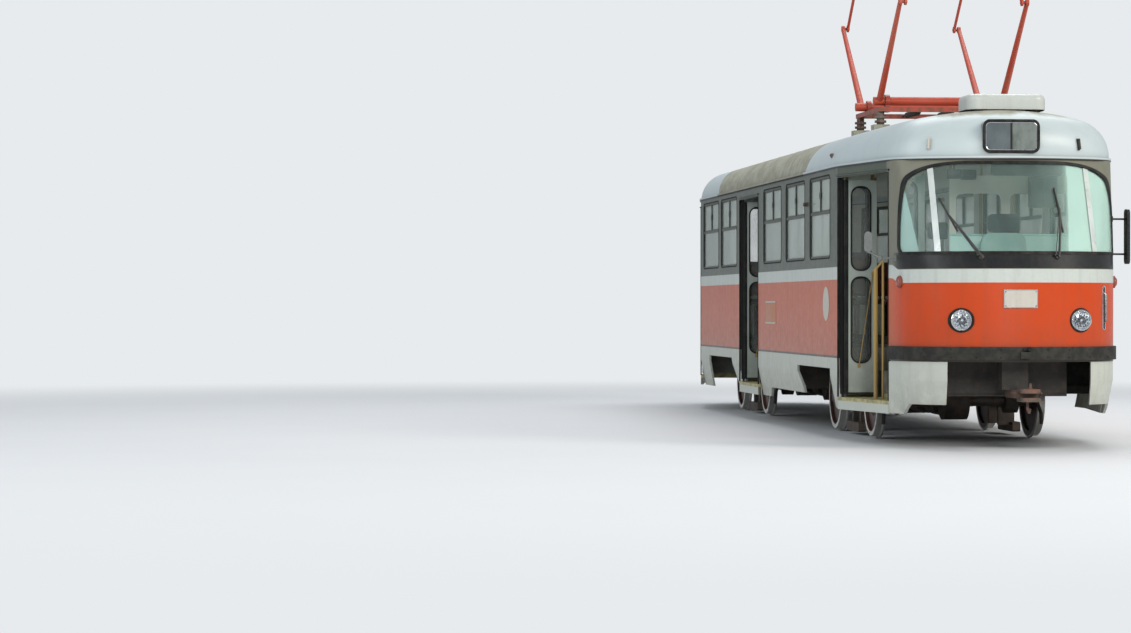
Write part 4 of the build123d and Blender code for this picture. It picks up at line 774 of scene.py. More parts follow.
def skin_of(node):
    """Search tree over the faces of a node."""
    data = frame["nodes"][node].data
    corners = [v.co.copy() for v in data.vertices]
    return BVHTree.FromPolygons(corners, [list(f.vertices) for f in data.polygons])


def on_skin(tree, start, direction):
    """Point and outward normal where a line from a start meets a skin."""
    point, normal, _, _ = tree.ray_cast(Vector(start), Vector(direction).normalized())
    return point, -normal if normal.dot(Vector(direction)) > 0 else normal


def on_front(tree, y, z, end=1):
    """Point and outward normal of the skin of one end, at a place across and a height."""
    return on_skin(tree, (end * 9.0, y, z), (-end, 0, 0))


def raised(spot, height):
    """Point over a skin, from its point and outward normal there."""
    return spot[0] + spot[1] * height


def dress_nodes():
    """Give each node of the frame the finish of its slot."""
    for part in frame["record"]["subparts"]:
        data = frame["nodes"][part["node"]].data
        data.materials.clear()
        data.materials.append(MATERIALS[part["material_slot"]])
        data.shade_smooth()
        data.set_sharp_from_angle(angle=math.radians(32))


# Walls and windows


def make_window_rubbers():
    """Rubber round each side window, and the slim frames of its sliding panes."""
    rubbers, frames = Shape(), Shape()
    middle = (WINDOW_BOTTOM + WINDOW_TOP) / 2
    height = WINDOW_TOP - WINDOW_BOTTOM
    low, high = VENT_BAR + 0.014, WINDOW_TOP - WINDOW_BAR
    places = [(1, *window) for window in LEFT_WINDOWS] + [(-1, *window) for window in RIGHT_WINDOWS]
    places += [(1, end * TAPER_WINDOW[0], TAPER_WINDOW[1]) for end in HANDS]
    for side, station, width in places:
        outline = rounded(width - 0.004, height - 0.004, WINDOW_CORNER, 4)
        rubbers.bead(outline, wall_facing(side, station, middle), 0.0035, 6, 2.2)
        half = width / 2 - WINDOW_BAR - 0.015
        place = wall_facing(side, station, (low + high) / 2, -PANE_RECESS)
        for hand in HANDS:
            shift = place @ moved(hand * (half / 2 + 0.015))
            frames.bead(rounded(half - 0.012, high - low - 0.012, 0.02, 3), shift, 0.005, 6, 1.4)
            grip = hand * (0.02 - half / 2)
            frames.block((grip - 0.006, -0.03, 0.0), (grip + 0.006, 0.03, 0.012), 0.003, shift)
    rubbers.build("window_rubbers", "gasket", "screen_seal")
    frames.build("vent_pane_frames", "window_frame", "window_frame")


def make_doorway_trim():
    """Rubber strips down the jambs and a drip rail over each doorway."""
    strips, rails = Shape(), Shape()
    section = [(0.0005, 0.03), (-0.014, 0.022), (-0.014, 0.012), (0.0005, 0.008)]
    for place in doorways():
        for hand in HANDS:
            near, far = sorted((hand * 0.672, hand * 0.6838))
            strips.block((near, -0.006, SILL_TOP + 0.002), (far, 0.010, DOORWAY_TOP - 0.002), 0.003, place)
        rails.rings([[place @ Vector((x, y, DOORWAY_TOP + z)) for y, z in section] for x in (-0.70, 0.70)])
    strips.build("doorway_rubbers", "gasket", "screen_seal")
    rails.build("doorway_drip_rails", "window_frame", "window_frame")


def make_side_fittings():
    """Bare plate and roundel of the right side, and the small bracket between two windows."""
    plate, rims, roundel, bracket = Shape(), Shape(), Shape(), Shape()
    place = wall_facing(-1, 0.76, FLANGE + 1.2)
    plate.block((-0.33, -0.12, 0.0005), (0.33, 0.12, 0.003), 0.001, place)
    for height in (-0.113, 0.113):
        rims.block((-0.33, height - 0.009, 0.003), (0.33, height + 0.009, 0.006), 0.0012, place)
    plate.build("side_plate", "plate_red", "body_paint")
    rims.build("side_plate_rims", "blank_plate", "skirt_paint")
    roundel.lathe([(0, 0.0005), (0.166, 0.0005), (0.166, 0.0025), (0.16, 0.004), (0.152, 0.0035),
                   (0, 0.0035)], wall_facing(-1, 4.09, FLANGE + 1.29), 40)
    roundel.build("side_roundel", "blank_plate", "skirt_paint")
    post = wall_facing(-1, 3.03, FLANGE + 2.29)
    bracket.block((-0.045, -0.022, 0.0), (0.045, 0.022, 0.006), 0.003, post)
    bracket.tube([(-0.02, 0, 0.0), (-0.02, 0, 0.03), (0.06, 0.004, 0.04)], 0.008, 8, post)
    bracket.lathe([(0, 0), (0.02, 0), (0.02, 0.03), (0.012, 0.036), (0, 0.036)],
                  post @ moved(-0.02, 0, 0.004), 16)
    bracket.build("window_bracket", "coupler_iron", "coupler_iron")


def make_skirt_corners():
    """Thin blend from the foot of each end doorway to its corner skirt."""
    tree = skin_of("end_skirts")
    first = END_DOOR + DOORWAY_WIDTH / 2 + 0.008
    for end, name in ENDS:
        corner = Shape()
        rows = []
        for share in (0.0, 0.15, 0.3, 0.45, 0.6, 0.75, 0.9, 1.0):
            station = first + 0.19 * share
            blend = share * share * (3 - 2 * share)
            outer = []
            for z in (0.764, 0.66, 0.6, 0.53, 0.46, 0.39, 0.34, 0.292):
                along = wall_place(-1, end * max(station, first + 0.06))
                start = along @ Vector((0, -0.3, FLANGE + z))
                point, _ = on_skin(tree, start, along.to_3x3() @ Vector((0, 1, 0)))
                depth = (along.inverted() @ point).y
                outer.append(Vector((0, depth * blend - 0.0015 + 0.001 * blend, FLANGE + z)))
            inner = [p + Vector((0, 0.003, 0)) for p in reversed(outer)]
            rows.append([wall_place(-1, end * station) @ p for p in outer + inner])
        corner.rings(rows)
        corner.build("skirt_corner_" + name, "skirt_paint", "skirt_paint")


def make_roof_knob():
    """Small vent in the roof's side."""
    knob = Shape()
    place = facing(*on_skin(skin_of("roof"), (4.3, -3.0, FLANGE + 2.72), (0, 1, 0)))
    knob.lathe([(0, -0.002), (0.026, -0.002), (0.026, 0.008), (0.018, 0.02), (0.010, 0.028), (0, 0.03)],
               place, 16)
    knob.build("roof_side_vent", "pantograph_base", "roof_paint")


def add_bolt(shape, place, radius, height):
    """Six-sided bolt head on a place whose Z points outward."""
    shape.lathe([(radius, 0), (radius, height * 0.7), (radius * 0.8, height), (0, height)], place, 6)


def make_joint_covers():
    """Narrow strips over the joints between sides and ends, but for the one by the front doorway."""
    covers = Shape()
    station = TAPER_START + (FRONT_JOINT - TAPER_START) / math.cos(TAPER_ANGLE)
    for side, end in ((1, 1), (1, -1), (-1, -1)):
        low, high = sorted((side * 0.0003, side * 0.003))
        covers.block((-0.014, low, SKIRT_TOP + 0.13), (0.014, high, FLANGE + 1.598), 0.001,
                     wall_place(side, end * station))
    covers.build("joint_covers", "body_paint", "body_paint")


# Ends


def make_front_plate(tree):
    """Bare plate in the middle of the apron, with its raised rim and four screws."""
    plate, rim = Shape(), Shape()
    low, high = FLANGE + 1.247, FLANGE + 1.413
    left, right = PLATE_Y - 0.152, PLATE_Y + 0.152
    rows = []
    for y in evenly(left, right, 10):
        point, normal = on_front(tree, y, (low + high) / 2)
        flat = Vector((normal.x, normal.y, 0)).normalized()
        near, far = point + flat * 0.0006, point + flat * 0.0046
        rows.append([(spot.x, spot.y, z)
                     for spot, z in ((near, low), (far, low), (far, high), (near, high))])
    plate.rings(rows)
    plate.build("front_plate", "blank_plate", "skirt_paint")
    for z in (low + 0.004, high - 0.004):
        rim.tube([raised(on_front(tree, y, z), 0.005) for y in evenly(left, right, 8)], 0.003, 6)
    for y in (left + 0.002, right - 0.002):
        foot = raised(on_front(tree, y, low), 0.005)
        rim.tube([foot, foot + Vector((0, 0, high - low))], 0.003, 6)
    for y in (left + 0.017, right - 0.017):
        for z in (low + 0.02, high - 0.02):
            spot = on_front(tree, y, z)
            add_bolt(rim, facing(raised(spot, 0.004), spot[1]), 0.007, 0.004)
    rim.build("front_plate_rim", "chrome", "seam_strip")


def make_indicators(trees):
    """Round direction lamp at each corner, front and rear."""
    for end, name in ENDS:
        base, lens = Shape(), Shape()
        for hand in HANDS:
            place = facing(*on_skin(trees[end], (end * 6.34, hand * 3.0, FLANGE + 1.485), (0, -hand, 0)))
            base.lathe([(0, -0.004), (0.056, -0.004), (0.056, 0.012), (0.050, 0.020), (0.043, 0.020),
                        (0.043, 0.010), (0, 0.010)], place)
            lens.lathe([(0.0425, 0.0105), (0.0425, 0.018), (0.036, 0.029), (0.022, 0.036), (0, 0.038)], place)
        base.build("indicator_bases_" + name, "lamp_ring", "mirror_plastic")
        lens.build("indicator_lenses_" + name, "amber_lens", "tail_lamp")


def make_lamp_rings(trees):
    """Rubber ring between each lamp and the skin round it."""
    radius = LAMP_RADIUS + 0.006
    for end, name in ENDS:
        rings = Shape()
        for hand in HANDS:
            spots = [on_front(trees[end], hand * LAMP_Y + radius * c, LAMP_Z + radius * s, end)
                     for c, s in circle(36)]
            rings.tube([raised(spot, 0.001) for spot in spots], 0.0095, 8, closed=True)
        rings.build("lamp_rings_" + name, "gasket", "screen_seal")


def make_corner_marker(tree):
    """Slim upright handle recess with a pale rim at the left corner; a thin dark plate inside the rim stands
    for the shade in the recess.
    """
    rim, recess_shade = Shape(), Shape()
    place = facing(*on_front(tree, 0.80, FLANGE + 1.25))
    rim.bead(rounded(0.044, 0.39, 0.02, 4), place @ moved(0, 0, 0.002), 0.005, 8, 1.2)
    rim.tube([(0, -0.13, 0.0), (0, -0.12, 0.024), (0, 0.12, 0.024), (0, 0.13, 0.0)], 0.006, 8, place)
    rim.build("corner_handle_rim", "chrome", "seam_strip")
    # A dark plate inside the rim is the painted shade of the recess.
    recess_shade.plate(rounded(0.04, 0.386, 0.018, 4), place, 0.0015)
    recess_shade.build("corner_handle_recess_shade", "gasket", "screen_seal")


def make_brow_fittings(roof_tree):
    """Two small brackets on the brow, the right one pale as a painted highlight, and the rubber round the
    route box of each end.
    """
    # The right bracket takes pale plate paint as a painted highlight; the left one is dark.
    for name, y, material in (("left", 0.65, "chassis"), ("right", -0.715, "blank_plate")):
        shape = Shape()
        place = facing(*on_front(roof_tree, y, FLANGE + 2.73))
        shape.block((-0.012, -0.055, 0.0), (0.012, 0.055, 0.005), 0.002, place)
        for height in (-0.04, 0.04):
            shape.disc(0.008, 0, 0.022, place @ moved(0, height, 0.004), 10)
        shape.block((-0.009, -0.05, 0.022), (0.009, 0.05, 0.030), 0.003, place)
        shape.build("brow_bracket_" + name, material, "pantograph_base")
    low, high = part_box("destination_boxes")
    width, height = high.y - low.y, high.z - low.z
    for end, name in ENDS:
        ring, bright = Shape(), Shape()
        place = facing(Vector((end * high.x, 0, (low.z + high.z) / 2)), (end, 0, 0))
        ring.bead(rounded(width - 0.012, height - 0.012, 0.052, 6), place, 0.009, 8, 1.5)
        bright.bead(rounded(width - 0.045, height - 0.045, 0.038, 6), place @ moved(0, 0, 0.001),
                    0.0028, 6, 1.3)
        bright.build("route_box_rim_" + name, "chrome", "seam_strip")
        for shift in (-0.006, 0.006):
            ring.tube([(shift, 0.01 - height / 2, 0.001), (shift, height / 2 - 0.01, 0.001)], 0.003, 6, place)
        ring.build("route_box_rubber_" + name, "gasket", "screen_seal")


def make_wipers(screen_tree, end_tree):
    """Two windscreen wipers: spindle, arm, thin second link, yoke and blade."""
    # Pivot, upper end and lower end of the blade, each as place across and height
    parked = [((-0.363, FLANGE + 1.702), (-0.662, FLANGE + 2.23), (-0.537, FLANGE + 1.93)),
              ((0.323, FLANGE + 1.702), (0.366, FLANGE + 2.32), (0.402, FLANGE + 1.92))]
    arms, blades = Shape(), Shape()
    for pivot, tip, foot in parked:
        base, out = on_front(end_tree, *pivot)
        arms.lathe([(0, 0), (0.024, 0), (0.024, 0.012), (0.014, 0.018), (0.014, 0.04), (0, 0.044)],
                   facing(base, out), 18)
        along = zip(evenly(tip[0], foot[0], 6), evenly(tip[1], foot[1], 6))
        line = [on_front(screen_tree, y, z) for y, z in along]
        blades.tube([raised(spot, 0.010) for spot in line], 0.009, 6)
        arms.tube([raised(spot, 0.022) for spot in line], 0.005, 6)
        for spot in line[1::2]:
            arms.tube([raised(spot, 0.006), raised(spot, 0.024)], 0.004, 6)
        arms.tube([raised(line[1], 0.024), raised(line[3], 0.036), raised(line[5], 0.024)], 0.004, 6)
        start, end = base + out * 0.036, raised(line[3], 0.04)
        knee = start.lerp(end, 0.5) + line[3][1] * 0.012
        arms.tube([start, knee, end], [0.012, 0.010, 0.007], 8)
        side = Vector((0, -0.03, 0.01))
        arms.tube([start + side, knee + side * 0.7, end], 0.005, 6)
        arms.lathe([(0, 0), (0.011, 0), (0.011, 0.03), (0, 0.034)], facing(base + side, out), 12)
    arms.build("wiper_arms", "wiper_steel", "mirror_plastic")
    blades.build("wiper_blades", "gasket", "screen_seal")


def make_bumper_fittings():
    """Bolts along the bumper bands, and the latch in the middle of the front one."""
    tree = skin_of("bumpers")
    for end, name in ENDS:
        bolts = Shape()
        for k in (-4, -3, -2, -1, 1, 2, 3, 4):
            for z in (FLANGE + 0.81, FLANGE + 0.88):
                add_bolt(bolts, facing(*on_front(tree, 0.21 * k, z, end)), 0.008, 0.004)
        if end > 0:
            place = facing(*on_front(tree, 0.02, FLANGE + 0.885))
            bolts.block((-0.035, -0.018, 0.0), (0.035, 0.012, 0.02), 0.006, place)
            bolts.lathe([(0, 0), (0.017, 0), (0.017, 0.03), (0.011, 0.036), (0, 0.036)],
                        place @ moved(0.012, -0.004, 0.012), 14)
        bolts.build("bumper_bolts_" + name, "gasket", "bumper_rubber")


def make_coupler_fittings():
    """Stacked guide plates on each coupler head, its pin, and a hook hung under it."""
    low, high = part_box("couplers")
    hook = [(-0.16, 0, -0.05), (-0.165, 0, -0.10), (-0.14, 0, -0.145), (-0.10, 0, -0.15), (-0.08, 0, -0.12)]
    for end, name in ENDS:
        plates = Shape()
        turn = Matrix.Rotation(0 if end > 0 else math.pi, 4, "Z")
        head = turn @ moved(high.x, 0, (low.z + high.z) / 2)
        for level in (-0.048, -0.034, 0.034, 0.048):
            plates.plate([(x - 0.115, y) for x, y in rounded(0.20, 0.196, 0.06, 4)],
                         head @ moved(0, 0, level - 0.004), 0.008)
        plates.lathe([(0.020, 0.0), (0.020, 0.008), (0.014, 0.014), (0.009, 0.05), (0, 0.052)],
                     head @ moved(-0.058, 0, 0.056), 14)
        plates.tube(hook, 0.012, 10, head)
        for hand in HANDS:
            plates.tube([(-0.30, hand * 0.05, 0.02), (-0.26, hand * 0.12, 0.02), (-0.12, hand * 0.115, 0.02)],
                        0.009, 8, head)
        plates.build("coupler_plates_" + name, "coupler_iron", "coupler_iron")


# Cab and seats


def make_cushion(shape, name, material, slot, node):
    """Padded piece that stands for a seat of the frame."""
    piece = shape.build(name, material, slot)
    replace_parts(piece, node)


def make_driver_seat():
    """Driver's seat on its column: seat pad, back pad and head rest in their shells."""
    stand, pads, head = Shape(), Shape(), Shape()
    place = moved(DRIVER_X, DRIVER_Y, FLOOR_TOP)
    shell = -0.262
    stand.lathe([(0, 0.0), (0.17, 0.0), (0.17, 0.012), (0.07, 0.03), (0.055, 0.05), (0.055, 0.30),
                 (0.09, 0.31), (0.09, 0.40), (0, 0.40)], place, 24)
    stand.block((-0.21, -0.21, 0.40), (0.22, 0.21, 0.425), 0.01, place)
    stand.plate(rounded(0.42, 0.58, 0.09, 5), place @ facing((shell, 0, 0.76), (1, 0, 0)), 0.014)
    for hand in HANDS:
        y = hand * 0.16
        stand.tube([(0.0, y, 0.41), (-0.24, y, 0.41), (shell, y, 0.55), (shell, y, 0.9)], 0.012, 8, place)
        stand.tube([(-0.225, hand * 0.06, 1.03), (-0.225, hand * 0.06, 1.10)], 0.008, 8, place)
    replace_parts(stand.build("driver_seat_frame", "chassis", "handrail"), "driver_seat")
    pads.pad(0.46, 0.46, 0.085, place @ moved(0, 0, 0.425), 0.022)
    pads.pad(0.44, 0.60, 0.05, place @ facing((-0.248, 0, 0.76), (1, 0, 0)), 0.022)
    make_cushion(pads, "driver_seat_pads", "driver_cover", "driver_fabric", "driver_seat")
    head.pad(0.31, 0.18, 0.06, place @ facing((-0.258, 0, 1.14), (1, 0, 0)), 0.014)
    make_cushion(head, "driver_head_rest", "driver_fabric", "driver_fabric", "driver_seat")


def make_cab_fittings():
    """What shows in the cab: sun visor, ticket box on its post, small screen, and instruments on the desk."""
    visor, boxes, panel, cabinet, dials = Shape(), Shape(), Shape(), Shape(), Shape()
    place = facing((6.385, 0.17, FLANGE + 2.50), (1, 0, -0.25))
    visor.plate(rounded(0.66, 0.11, 0.03, 4), place, 0.008)
    for y in (-0.25, 0.25):
        visor.tube([(y, 0.04, 0.004), (y, 0.13, 0.01)], 0.005, 6, place)
    visor.build("sun_visor", "mirror_plastic", "mirror_plastic")
    boxes.block((6.32, -0.73, FLANGE + 1.87), (6.42, -0.56, FLANGE + 2.02), 0.012)
    boxes.tube([(6.37, -0.60, FLANGE + 1.585), (6.37, -0.60, FLANGE + 1.875)], 0.012, 10)
    boxes.block((6.37, -0.56, FLANGE + 2.415), (6.405, -0.43, FLANGE + 2.50), 0.008)
    boxes.tube([(6.385, -0.495, FLANGE + 2.49), (6.385, -0.495, FLANGE + 2.62)], 0.006, 8)
    boxes.build("cab_boxes", "mirror_plastic", "mirror_plastic")
    panel.block((PARTITION_FACE, -0.245, FLOOR_TOP + 0.02), (5.101, 1.05, FLANGE + 1.936), 0.002)
    panel.tube([(5.104, -0.245, FLANGE + 1.94), (5.104, 1.05, FLANGE + 1.94)], 0.009, 8)
    panel.build("cab_panel", "cab_panel", "partition")
    cabinet.block((PARTITION_FACE, 0.50, FLANGE + 2.197), (5.21, 0.76, FLANGE + 2.485), 0.012)
    cabinet.block((5.208, 0.624, FLANGE + 2.21), (5.214, 0.632, FLANGE + 2.47), 0.001)
    cabinet.block((PARTITION_FACE, -0.15, FLANGE + 2.46), (5.18, -0.01, FLANGE + 2.554), 0.01)
    cabinet.build("cab_cabinet", "cab_cabinet", "partition")
    top = FLOOR_TOP + 0.69
    for y in (-0.02, 0.12, 0.26, 0.40):
        dials.lathe([(0, 0), (0.045, 0), (0.045, 0.012), (0.038, 0.016), (0.038, 0.008), (0, 0.008)],
                    facing((6.315, y, top - 0.056), (-0.75, 0, 0.55)), 20)
    for y in (-0.14, 0.52):
        dials.tube([(6.36, y, top - 0.04), (6.34, y, top + 0.05)], 0.009, 8)
        dials.lathe([(0, -0.02), (0.02, -0.012), (0.022, 0.0), (0.02, 0.012), (0, 0.02)],
                    moved(6.338, y, top + 0.06), 14)
    dials.build("desk_instruments", "mirror_plastic", "desk")


def make_passenger_seats():
    """Single seats with piped pads on bent tube frames."""
    pads, frames = Shape(), Shape()
    back, half, bar = -0.236, 0.19, 0.011
    rows = [(1, x) for x in SEAT_ROWS_LEFT] + [(-1, x) for x in SEAT_ROWS_RIGHT]
    for side, x in rows:
        past = max(0.0, abs(x) + SEAT_LENGTH / 2 + SEAT_BACK_THICKNESS - TAPER_START)
        across = HALF_WIDTH - past * math.tan(TAPER_ANGLE) - SEAT_FROM_WALL
        place = moved(x, side * across, FLOOR_TOP + SEAT_LIFT)
        pads.pad(0.385, 0.40, 0.036, place @ moved(0.005, 0, 0.008), 0.012)
        pads.pad(0.395, 0.40, 0.028, place @ facing((-0.238, 0, 0.29), (1, 0, 0)), 0.010)
        frames.block((-0.17, -half, 0.0), (0.17, half, 0.008), 0.003, place)
        for y in (half, -half):
            frames.tube([(0.17, y, -0.004), (-0.15, y, -0.004), (-0.215, y, 0.03), (back, y, 0.14),
                         (back, y, 0.45)], bar, 8, place)
        top = ((-half, 0.45), (-0.16, 0.488), (0.16, 0.488), (half, 0.45))
        frames.tube([(back, y, z) for y, z in top], bar, 8, place)
        foot = [(0, 0), (0.085, 0), (0.085, 0.008), (0.03, 0.02), (0.026, 0.03), (0.026, 0.38), (0.06, 0.39),
                (0.06, 0.4), (0, 0.4)]
        frames.lathe(foot, place @ moved(0, 0, -SEAT_LIFT), 14)
    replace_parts(frames.build("passenger_seat_frames", "chassis", "handrail"), "passenger_seats")
    make_cushion(pads, "passenger_seat_pads", "seat_cover", "seat_cover", "passenger_seats")


# Folding doors


def leaf_forms():
    """Each leaf of a doorway: name, place that folds it open, and its closed start and end."""
    jamb = -DOORWAY_WIDTH / 2 + JAMB_TO_AXIS
    fold = jamb + LEAF_RUN + LEAF_GAP / 2
    first = turned(jamb, LEAF_INSET, 90)
    second = first @ turned(fold, LEAF_INSET - FOLD_OFFSET, -180)
    flip = Matrix.Diagonal((-1, 1, 1, 1))
    outer = (jamb - AXIS_TO_EDGE, jamb + LEAF_RUN)
    inner = (fold + LEAF_GAP / 2, fold + LEAF_GAP / 2 + LEAF_RUN)
    return [("rear_a", first, *outer), ("rear_b", second, *inner),
            ("front_a", flip @ first, *outer), ("front_b", flip @ second, *inner)]


def make_leaf(body, place, start, end):
    """Panes and rubbers of one leaf, and on an inner leaf its closing rubber and slanted grab rod."""
    panes, rubbers = Shape(), Shape()
    upright = Matrix.Rotation(math.pi / 2, 4, "X")
    inside, outside = LEAF_INSET + LEAF_THICKNESS / 2, LEAF_INSET - LEAF_THICKNESS / 2
    for low, high in PANE_HEIGHTS:
        middle, height = ((start + end) / 2, (low + high) / 2), high - low
        spot = place @ moved(middle[0], LEAF_INSET + 0.003, middle[1]) @ upright
        panes.plate(rounded(PANE_WIDTH - 0.002, height - 0.002, PANE_CORNER, 5), spot, 0.006)
        for y in (inside, outside):
            rubbers.bead(rounded(PANE_WIDTH + 0.004, height + 0.004, PANE_CORNER + 0.002, 5),
                         place @ moved(middle[0], y, middle[1]) @ upright, 0.004, 6, 2.4)
    for y in (inside, outside - 0.003):
        rubbers.block((start + 0.012, y, LEAF_BOTTOM + 0.002), (end - 0.012, y + 0.003, LEAF_BOTTOM + 0.016),
                      0.001, place)
    if body.endswith("_b"):
        half = LEAF_THICKNESS / 2 + 0.003
        bulge = [(-0.030, 0.003 - half), (-0.026, -half), (-0.010, -half), (0.003, -0.010), (0.005, 0.0),
                 (0.003, 0.010), (-0.010, half), (-0.026, half), (-0.030, half - 0.003)]
        rubbers.plate([(end + x, LEAF_INSET + y) for x, y in bulge],
                      place @ moved(0, 0, LEAF_BOTTOM + 0.055), LEAF_TOP - LEAF_BOTTOM - 0.065)
        rod = Shape()
        top = Vector((end - 0.277, inside + 0.005, FLANGE + 1.575))
        foot = Vector((end - 0.138, inside + 0.005, FLANGE + 0.700))
        root = Vector((0, -0.006, 0))
        rod.tube([top + root, top, foot, foot + root], 0.0045, 8, place)
        for point in (top, foot):
            rod.block(point + Vector((-0.014, -0.0045, -0.02)), point + Vector((0.014, 0.0, 0.02)),
                      0.0015, place)
        rod.build(body + "_grab_rod", "handrail", "handrail", body)
    panes.build(body + "_glass", "leaf_glass", "side_glass", body)
    rubbers.build(body + "_rubbers", "gasket", "screen_seal", body)


# Roof gear


def make_roof_gear(roof_tree):
    """Springs of the pantograph's base, seams of the roof cover, and the foot of the vent unit, whose black
    ring also stands for the shade in the gap under the vent.
    """
    springs, seams, foot = Shape(), Shape(), Shape()
    z = (PANTOGRAPH_BASE + PANTOGRAPH_BASE_TOP) / 2
    for y in (-0.17, 0.17):
        place = moved(PANTOGRAPH_X, y, z)
        springs.helix(place @ Vector((-0.36, 0, 0)), place @ Vector((0.18, 0, 0)), 0.026, 0.005, 26)
        springs.tube([(-0.535, 0, 0), (-0.35, 0, 0)], 0.011, 10, place)
        springs.tube([(0.17, 0, 0), (0.535, 0, 0)], 0.009, 10, place)
    springs.build("pantograph_springs", "chassis", "pantograph_base")
    for x in (-2.2, -1.1, 0.0, 1.1, 2.2):
        middle = Vector((x, 0, ROOF_BASE - 0.4))
        points = []
        for degrees in evenly(-66, 66, 24):
            angle = math.radians(degrees)
            ray = Vector((0, 3.0 * math.sin(angle), 3.0 * math.cos(angle)))
            points.append(raised(on_skin(roof_tree, middle + ray, -ray), 0.0005))
        seams.tube(points, 0.003, 5, flat=3.5, up=(0, 0, 1))
    seams.build("roof_seams", "roof_paint", "roof_paint")
    low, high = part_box("cab_vent")
    middle = (low + high) / 2
    ring = rounded(high.x - low.x - 0.03, high.y - low.y - 0.03, 0.09, 5)
    place = moved(middle.x, middle.y, low.z)
    # A black gasket ring round the vent's foot, which also stands for the shade in the gap under the vent.
    foot.bead(ring, place, 0.010)
    foot.bead([(x * 0.99, y * 0.985) for x, y in ring], place @ moved(0, 0, 0.04), 0.003, 6)
    for z in evenly(low.z + 0.035, low.z + 0.091, 4):
        foot.block((low.x - 0.004, middle.y - 0.2, z), (low.x + 0.01, middle.y + 0.2, z + 0.006), 0.001)
    foot.build("vent_foot_and_shade", "gasket", "screen_seal")


# Running gear


def make_running_gear():
    """Coil springs, sand pipes, brake cables and hub bolts of the bogies."""
    for end, name in ENDS:
        coils, pipes = Shape(), Shape()
        x = end * BOGIE_X
        for hand in HANDS:
            coils.helix(Vector((x, hand * BEAM_Y, AXLE_Z + 0.092)),
                        Vector((x, hand * BEAM_Y, FLANGE + 0.519)), 0.088, 0.0095, 3)
            for way in HANDS:
                beam = moved(x + way * (HALF_WHEELBASE + 0.05), hand * BEAM_Y, AXLE_Z + 0.02)
                pipes.tube([(way * u, hand * v, w) for u, v, w in
                            ((0, 0, 0), (0.12, 0.03, 0.03), (0.30, 0.17, 0.0), (0.345, 0.21, -0.14),
                             (0.335, 0.215, -0.24))], 0.018, 10, beam)
                magnet = moved(x + way * 0.14, hand * 0.775, FLANGE + 0.105)
                pipes.tube([(0, 0, 0), (0, 0, 0.09), (0, -hand * 0.05, 0.15), (0, -hand * 0.17, 0.18)],
                           0.009, 8, magnet)
        coils.build("bogie_springs_" + name, "axle_steel", "axle_steel", "bogie_" + name)
        pipes.build("bogie_pipes_" + name, "chassis", "bogie", "bogie_" + name)
    reach = 0.078
    for number, x in AXLES.items():
        bolts = Shape()
        for hand in HANDS:
            for c, s in circle(8):
                spot = Vector((x + reach * c, hand * 0.834, AXLE_Z + reach * s))
                add_bolt(bolts, facing(spot, (0, hand, 0)), 0.011, 0.010)
        bolts.build("wheel_bolts_" + str(number), "axle_steel", "axle_steel", "wheelset_" + str(number))


def make_underframe_pipes():
    """Conduits under the floor with their clips, dark sheets behind each end that stand for the shade under
    it, and ribs of the equipment boxes.
    """
    pipes, ribs, sheet = Shape(), Shape(), Shape()
    # Distance of each sheet's near face, its thickness, and its lower and upper edge
    bands = ((5.28, 0.008, 0.44, 0.79), (5.286, 0.010, 0.50, 0.525), (5.286, 0.010, 0.75, 0.775))
    # The dark sheets behind each end stand for the shade under the tram.
    for end in HANDS:
        for away, thickness, low, high in bands:
            near, far = sorted((end * away, end * (away + thickness)))
            sheet.block((near, -0.80, FLANGE + low), (far, 1.09, FLANGE + high), 0.002)
    sheet.build("shade_sheets_under_ends", "gasket", "chassis")
    for y, radius in ((-0.34, 0.02), (-0.28, 0.014), (0.08, 0.02), (0.14, 0.014)):
        z = FRAME_BOTTOM - radius - 0.001
        pipes.tube([(-3.0, y, z), (3.0, y, z)], radius, 10)
    for x in (-1.65, -0.8, 0.06, 1.6):
        for y in (-0.31, 0.11):
            pipes.block((x - 0.015, y - 0.065, FRAME_BOTTOM - 0.044),
                        (x + 0.015, y + 0.065, FRAME_BOTTOM - 0.0005), 0.003)
    pipes.build("floor_conduits", "chassis", "chassis")
    # Corners of each equipment box in plan, its underside and the number of its ribs
    for x0, x1, y0, y1, z0, count in ((-1.1, 1.3, 0.25, 1.12, FLANGE + 0.37, 8),
                                      (0.04, 1.45, -1.12, -0.52, FLANGE + 0.40, 5)):
        for x in evenly(x0 + 0.03, x1 - 0.03, count):
            ribs.block((x - 0.012, y0 + 0.02, z0 - 0.008), (x + 0.012, y1 - 0.02, z0 + 0.001), 0.002)
        for low, high in ((y0 - 0.008, y0), (y1, y1 + 0.008)):
            ribs.block((x0 + 0.01, low, z0 + 0.30), (x1 - 0.01, high, z0 + 0.32), 0.002)
    ribs.build("equipment_ribs", "equipment", "equipment")


def make_mirror_faces():
    """Reflecting face of the right mirror and the clamp of its arm."""
    face, rim, clamp = Shape(), Shape(), Shape()
    turn = moved(*MIRROR, FLANGE + 1.85) @ Matrix.Rotation(math.radians(-12), 4, "Z")
    place = turn @ facing((-0.015, 0, 0), (-1, 0, 0))
    face.plate(rounded(0.058, 0.166, 0.024, 5), place, 0.0015)
    face.build("mirror_face", "mirror_face", "seam_strip")
    rim.bead(rounded(0.066, 0.174, 0.028, 5), place @ moved(0, 0, -0.002), 0.005)
    rim.build("mirror_rim", "chrome", "seam_strip")
    for radius, half, place in ((0.014, 0.018, moved(*MIRROR, FLANGE + 1.765)),
                                (0.017, 0.02, moved(*MIRROR_FOOT, FLANGE + 1.70))):
        clamp.lathe([(0, -half - 0.002), (radius, -half), (radius, half), (0, half + 0.002)], place, 12)
    clamp.build("mirror_clamps", "mirror_plastic", "mirror_plastic")


